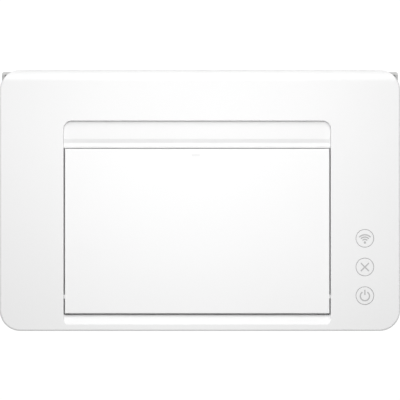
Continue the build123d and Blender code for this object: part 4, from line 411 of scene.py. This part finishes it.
def add_shader(material, colour, roughness, **more):
    """A second surface shader in a material."""
    inputs = {"Base Color": linear(colour), "Roughness": roughness, **more}
    return add_node(material, "ShaderNodeBsdfPrincipled", inputs).outputs[0]


def mix_shaders(material, share, first, second):
    return add_node(material, "ShaderNodeMixShader", {0: share, 1: first, 2: second}).outputs[0]


def use_shader(material, shader):
    """Feeds a shader to the material's output."""
    surface = material.node_tree.nodes["Material Output"].inputs["Surface"]
    material.node_tree.links.new(shader, surface)


def roller_finish(name, node, colour, shade, roughness, grain, relief):
    """A sleeve round the node's long axis, with steel inside it and acetal where the gear is."""
    material = moulded_plastic(name, colour, shade, roughness, grain, relief)
    ground = material.node_tree.nodes["Principled BSDF"].outputs[0]
    low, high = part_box(node)
    axis = (0, (low[1] + high[1]) / 2, (low[2] + high[2]) / 2)
    place = object_place(material)
    across = add_node(
        material, "ShaderNodeVectorMath", {0: place, 1: (0, 1, 1)}, operation="MULTIPLY"
    ).outputs[0]
    reach = add_node(
        material, "ShaderNodeVectorMath", {0: across, 1: axis}, operation="DISTANCE"
    ).outputs["Value"]
    sleeve = add_math(material, "GREATER_THAN", reach, SHAFT_EDGE)
    steel = add_shader(material, "#b9bcbf", 0.28, Metallic=1.0)
    shaft = mix_shaders(material, sleeve, steel, ground)
    along = add_node(material, "ShaderNodeSeparateXYZ", {0: place}).outputs["X"]
    left = add_math(material, "LESS_THAN", along, GEAR_START)
    geared = add_math(material, "MULTIPLY", left, sleeve)
    acetal = add_shader(material, "#e0ded5", 0.32, IOR=1.48)
    use_shader(material, mix_shaders(material, geared, shaft, acetal))
    dress(material, node)


for node in ("pickup_roller", "feed_roller", "exit_roller"):
    roller_finish("ground_rubber_" + node, node, "#232322", "#2b2b2a", 0.75, 0.0004, 0.00003)
roller_finish("conductive_foam_transfer", "transfer_roller", "#2a2a2b", "#1e1e1f", 0.9, 0.0003, 0.00006)
roller_finish("coated_rubber_developer", "developer_roller", "#191918", "#20201f", 0.45, 0.0005, 0.00001)
roller_finish("silicone_rubber_pressure", "pressure_roller", "#7a4a38", "#744535", 0.55, 0.0005, 0.00001)
roller_finish("fluoropolymer_heat_sleeve", "heat_roller", "#4a4644", "#4f4b49", 0.3, 0.001, 0.000004)
roller_finish("organic_drum_coating", "drum", "#2c7a80", "#2a747a", 0.18, 0.002, 0.000002)
for node in ("feed_idler_roller", "exit_idler_roller"):
    roller_finish("acetal_" + node, node, "#e4e2da", "#dddbd1", 0.32, 0.001, 0.000006)
RUBBER = moulded_plastic("ground_rubber_black", "#1d1d1d", "#252524", 0.75, 0.0004, 0.00003, 1.52)
dress(RUBBER, "separation_pad", "rubber_feet")


# Plates, springs, studs, pins and screws are zinc-plated steel, the bushes sintered bronze and
# the polygon mirror polished aluminium. Four screws hold the scanner's cover.
SPANGLE_SHEEN = 0.07  # how far the plating's grains move the roughness to either side
SCREW_RADIUS, SCREW_HEIGHT, SCREW_STEPS = 0.003, 0.0013, 40
SCREW_ROUNDING, SCREW_ROUND_STEPS = 0.45, 3  # the rounding is a share of the height
SCREW_INSET, SCREW_SUNK = 0.006, 0.001


def plated_steel(name, colour, shade, roughness, spangle):
    """Bright metal: spangle is the size of the grains in its surface, in metres."""
    material, surface = new_material(name, colour, roughness, metallic=1.0)
    grains = add_node(
        material, "ShaderNodeTexVoronoi", {"Vector": object_place(material), "Scale": 1 / spangle}
    ).outputs["Color"]
    level = add_node(material, "ShaderNodeSeparateColor", {"Color": grains}).outputs[0]
    tint(material, surface, level, colour, shade)
    vary_roughness(material, surface, level, roughness, SPANGLE_SHEEN)
    return material


def add_screw_head(shape, x, y, z):
    """A round screw head that stands on a level face."""
    made = bmesh.ops.create_cone(
        shape, cap_ends=True, segments=SCREW_STEPS, radius1=SCREW_RADIUS, radius2=SCREW_RADIUS,
        depth=SCREW_HEIGHT,
    )["verts"]
    bmesh.ops.translate(shape, vec=(x, y, z + SCREW_HEIGHT / 2), verts=made)
    rim = [edge for edge in edges_of(made) if all(vert.co.z > z for vert in edge.verts)]
    bmesh.ops.bevel(
        shape, geom=rim, offset=SCREW_HEIGHT * SCREW_ROUNDING, segments=SCREW_ROUND_STEPS,
        profile=0.5, affect="EDGES", material=-1,
    )


ZINC = plated_steel("zinc_plated_steel", "#b9bcbf", "#a9acb0", 0.35, 0.004)
dress(
    ZINC, "scanner_shelf", "lift_plate", "lift_springs", "gear_studs", "cover_screws",
    "cover_hinge_pins", "main_motor", "motor_pinion", "scanner_cover",
)
BRONZE = plated_steel("sintered_bronze", "#a58457", "#8f7048", 0.45, 0.0005)
dress(BRONZE, "bearing_bushes")
MIRROR = plated_steel("polished_aluminium_mirror", "#dcdde0", "#d8d9dc", 0.12, 0.003)
dress(MIRROR, "polygon_mirror")
scanner_low, scanner_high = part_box("scanner_cover")
screws = bmesh.new()
for x in (scanner_low[0] + SCREW_INSET, scanner_high[0] - SCREW_INSET):
    for y in (scanner_low[1] + SCREW_INSET, scanner_high[1] - SCREW_INSET):
        add_screw_head(screws, x, y, scanner_high[2] - SCREW_SUNK)
add_piece("scanner_cover_screws", screws, ZINC, "root")


# The circuit boards are glass-epoxy laminate under green solder mask. Chips, coils and switches
# are black epoxy and plastic; the mask ends where they stand on the board.
MASK_MARGIN = 0.0001
MAIN_FACE_DEPTH, POWER_FACE_HEIGHT, CONTROL_FACE_HEIGHT = 0.007, 0.0046, 0.0016
CHIPS = (  # distance from the board's front end, height of the lower edge, side of the square
    (0.018, 0.066, 0.014),
    (0.044, 0.070, 0.020),
    (0.076, 0.074, 0.012),
    (0.102, 0.066, 0.010),
    (0.128, 0.080, 0.014),
)
CHIP_FOOT, CHIP_TOP, CHIP_MARGIN, CHIP_EDGE = 0.0003, 0.0021, 0.0001, 0.0003
LEG_PITCH, LEG_REACH, LEG_HALF, LEG_HEIGHT, LEG_FREE = 0.00127, 0.0011, 0.0002, 0.0009, 0.002


def populated_board(name, node, axis, face):
    """A laminate up to the height of its component side, and black components beyond it."""
    material = moulded_plastic(name, "#14502c", "#175a33", 0.3, 0.0012, 0.00001)
    mask = material.node_tree.nodes["Principled BSDF"].outputs[0]
    height = add_node(material, "ShaderNodeSeparateXYZ", {0: object_place(material)}).outputs[axis]
    above = add_math(material, "GREATER_THAN", height, face + MASK_MARGIN)
    epoxy = add_shader(material, "#1c1c1e", 0.45)
    use_shader(material, mix_shaders(material, above, mask, epoxy))
    dress(material, node)


board_low, board_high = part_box("main_board")
component_face = board_high[0] - MAIN_FACE_DEPTH
power_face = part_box("power_board")[0][0] + POWER_FACE_HEIGHT
control_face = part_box("control_board")[0][2] + CONTROL_FACE_HEIGHT
populated_board("solder_mask_main_board", "main_board", "X", component_face)
populated_board("solder_mask_power_board", "power_board", "X", power_face)
populated_board("solder_mask_control_board", "control_board", "Z", control_face)
TIN = plated_steel("tinned_copper_legs", "#c9cac8", "#bcbdbb", 0.3, 0.0004)
EPOXY = moulded_plastic("moulded_epoxy_black", "#1a1a1b", "#202021", 0.5, 0.0005, 0.00001)
chips = bmesh.new()
legs = bmesh.new()
for from_front, z, side in CHIPS:
    y = board_low[1] + from_front
    add_block(
        chips, (component_face + CHIP_FOOT, y - CHIP_MARGIN, z - CHIP_MARGIN),
        (component_face + CHIP_TOP, y + side + CHIP_MARGIN, z + side + CHIP_MARGIN), CHIP_EDGE,
    )
    count = int((side - LEG_FREE) / LEG_PITCH)
    for number in range(count):
        at = z + side / 2 + (number - (count - 1) / 2) * LEG_PITCH
        for edge, way in ((y, -1), (y + side, 1)):
            near, far = sorted((edge, edge + way * LEG_REACH))
            add_block(
                legs, (component_face, near, at - LEG_HALF),
                (component_face + LEG_HEIGHT, far, at + LEG_HALF),
            )
add_piece("main_board_chips", chips, EPOXY, "root")
add_piece("main_board_legs", legs, TIN, "root")


# The mains inlet is black polyamide with three nickel-plated flat pins. The square data port
# over it is a drawn steel shell with a white tongue.
PIN_PLACES = ((0.0015, -0.007), (-0.0025, 0), (0.0015, 0.007))
PIN_HALF_X, PIN_HALF_Z, PIN_EDGE, PIN_EDGE_STEPS = 0.00208, 0.00108, 0.0004, 3
PIN_FOOT, PIN_TIP = 0.0040, 0.0029
PORT_IN, PORT_UP = 0.006, 0.008  # its middle, from the main board's outer face and lower edge
SHELL_HALF_X, SHELL_HALF_Z, SHELL_LENGTH, SHELL_PROUD = 0.0061, 0.0056, 0.0161, 0.0001
SHELL_WALL, PORT_DEPTH = 0.0012, 0.012
TONGUE_HALF_X, TONGUE_HALF_Z, TONGUE_EDGE = 0.00308, 0.00158, 0.0003
TONGUE_FOOT, TONGUE_TIP = 0.0119, 0.0014

SOCKET_PLASTIC = moulded_plastic("polyamide_socket_black", "#121213", "#19191b", 0.35, 0.0006, 0.00001)
dress(SOCKET_PLASTIC, "inlet_socket")
NICKEL = plated_steel("nickel_plated_brass", "#cdc8bd", "#c3beb3", 0.22, 0.001)
PORT_PLASTIC = moulded_plastic("port_tongue_white", "#e2e2df", "#dcdcd9", 0.45, 0.0006, 0.00001)
inlet_low, inlet_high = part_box("inlet_socket")
inlet_x, inlet_z = (inlet_low[0] + inlet_high[0]) / 2, (inlet_low[2] + inlet_high[2]) / 2
pins = bmesh.new()
for dx, dz in PIN_PLACES:
    x, z = inlet_x + dx, inlet_z + dz
    add_block(
        pins, (x - PIN_HALF_X, inlet_low[1] + PIN_FOOT, z - PIN_HALF_Z),
        (x + PIN_HALF_X, inlet_high[1] - PIN_TIP, z + PIN_HALF_Z), PIN_EDGE, PIN_EDGE_STEPS,
    )
add_piece("inlet_pins", pins, NICKEL, "root")

port_x, port_z = board_high[0] - PORT_IN, board_low[2] + PORT_UP
shell = bmesh.new()
add_block(
    shell, (port_x - SHELL_HALF_X, board_high[1] - SHELL_LENGTH, port_z - SHELL_HALF_Z),
    (port_x + SHELL_HALF_X, board_high[1] + SHELL_PROUD, port_z + SHELL_HALF_Z),
)
mouth = max(shell.faces, key=lambda face: face.calc_center_median().y)
bmesh.ops.inset_region(shell, faces=[mouth], thickness=SHELL_WALL)
deep = bmesh.ops.extrude_face_region(shell, geom=[mouth])["geom"]
deep_verts = [part for part in deep if isinstance(part, bmesh.types.BMVert)]
bmesh.ops.translate(shell, vec=(0, -PORT_DEPTH, 0), verts=deep_verts)
bmesh.ops.delete(shell, geom=[mouth], context="FACES")
add_piece("data_port_shell", shell, NICKEL, "root")
tongue = bmesh.new()
add_block(
    tongue, (port_x - TONGUE_HALF_X, board_high[1] - TONGUE_FOOT, port_z - TONGUE_HALF_Z),
    (port_x + TONGUE_HALF_X, board_high[1] - TONGUE_TIP, port_z + TONGUE_HALF_Z), TONGUE_EDGE,
)
add_piece("data_port_tongue", tongue, PORT_PLASTIC, "root")


# Studio: white paper under the machine, a pale sky that is brighter above and behind, and soft
# lamps overhead, seen from straight above through a long lens, as in the photograph.
PAPER_HALF, PAPER_ROUGHNESS = 20.0, 0.9
PAPER_SEEN_SHARE, PAPER_GLOW = 0.93, 1.09  # what the camera sees of the paper's own white
SKY_BRIGHT_WAY = (0, 0.45, 0.89)
SKY_LEAN, SKY_LEVEL = (-0.6, 0.9), (0.13, 0.53)
LAMPS = (  # name, place, target, side, power
    ("overhead_softbox", (0, 0.06, 0.56), (0, 0.05, 0.178), 0.26, 0.48),
    ("rear_softbox", (0, 1.05, 1.1), (0, 0, 0.17), 1.0, 9.7),
    ("front_softbox", (0.5, -1.6, 0.6), (0, 0, 0.1), 1.2, 3.0),
)
CAMERA_PLACE = (0.00005, 0.00035, 6.178)
SENSOR_WIDTH, FOCAL_LENGTH = 36.0, 653.0
CLIP_START, CLIP_END = 0.1, 50.0
WHITE = (1, 1, 1, 1)

floor_shape = bmesh.new()
bmesh.ops.create_grid(floor_shape, x_segments=1, y_segments=1, size=PAPER_HALF)
floor_mesh = bpy.data.meshes.new("paper_floor")
floor_shape.to_mesh(floor_mesh)
floor_shape.free()
floor = bpy.data.objects.new("paper_floor", floor_mesh)
bpy.context.scene.collection.objects.link(floor)
PAPER, paper_surface = new_material("white_background_paper", "#d8d8d8", PAPER_ROUGHNESS)
paper_rays = add_node(PAPER, "ShaderNodeLightPath")
paper_seen = add_math(PAPER, "MULTIPLY", paper_rays.outputs["Is Camera Ray"], PAPER_SEEN_SHARE)
paper_glow = add_node(PAPER, "ShaderNodeEmission", {"Color": WHITE, "Strength": PAPER_GLOW}).outputs[0]
use_shader(PAPER, mix_shaders(PAPER, paper_seen, paper_surface.outputs[0], paper_glow))
floor_mesh.materials.append(PAPER)

sky = bpy.data.worlds.new("studio_sky")
sky.use_nodes = True
sky_glow = sky.node_tree.nodes["Background"]
sky_glow.inputs["Color"].default_value = WHITE
sky_way = add_node(sky, "ShaderNodeTexCoord").outputs["Generated"]
sky_lean = add_node(
    sky, "ShaderNodeVectorMath", {0: sky_way, 1: SKY_BRIGHT_WAY}, operation="DOT_PRODUCT"
).outputs["Value"]
sky_level = add_node(
    sky, "ShaderNodeMapRange",
    {"Value": sky_lean, "From Min": SKY_LEAN[0], "From Max": SKY_LEAN[1],
     "To Min": SKY_LEVEL[0], "To Max": SKY_LEVEL[1]},
)
sky.node_tree.links.new(sky_level.outputs[0], sky_glow.inputs["Strength"])
sky_rays = add_node(sky, "ShaderNodeLightPath").outputs
sky_seen = add_math(sky, "MAXIMUM", sky_rays["Is Camera Ray"], sky_rays["Is Transmission Ray"])
sky_white = add_node(sky, "ShaderNodeBackground", {"Color": WHITE, "Strength": 1.0}).outputs[0]
sky_both = mix_shaders(sky, sky_seen, sky_glow.outputs[0], sky_white)
sky.node_tree.links.new(sky_both, sky.node_tree.nodes["World Output"].inputs["Surface"])
bpy.context.scene.world = sky


def add_lamp(name, place, target, side, power):
    """A square softbox that faces its target and isn't seen itself."""
    light = bpy.data.lights.new(name, "AREA")
    light.shape = "SQUARE"
    light.size = side
    light.energy = power
    lamp = bpy.data.objects.new(name, light)
    lamp.location = place
    lamp.rotation_euler = (Vector(target) - Vector(place)).to_track_quat("-Z", "Y").to_euler()
    lamp.visible_camera = False
    bpy.context.scene.collection.objects.link(lamp)


for lamp in LAMPS:
    add_lamp(*lamp)

lens = bpy.data.cameras.new("photo_camera")
lens.sensor_width = SENSOR_WIDTH
lens.lens = FOCAL_LENGTH
lens.clip_start = CLIP_START
lens.clip_end = CLIP_END
camera = bpy.data.objects.new("photo_camera", lens)
camera.location = CAMERA_PLACE
bpy.context.scene.collection.objects.link(camera)
bpy.context.scene.camera = camera
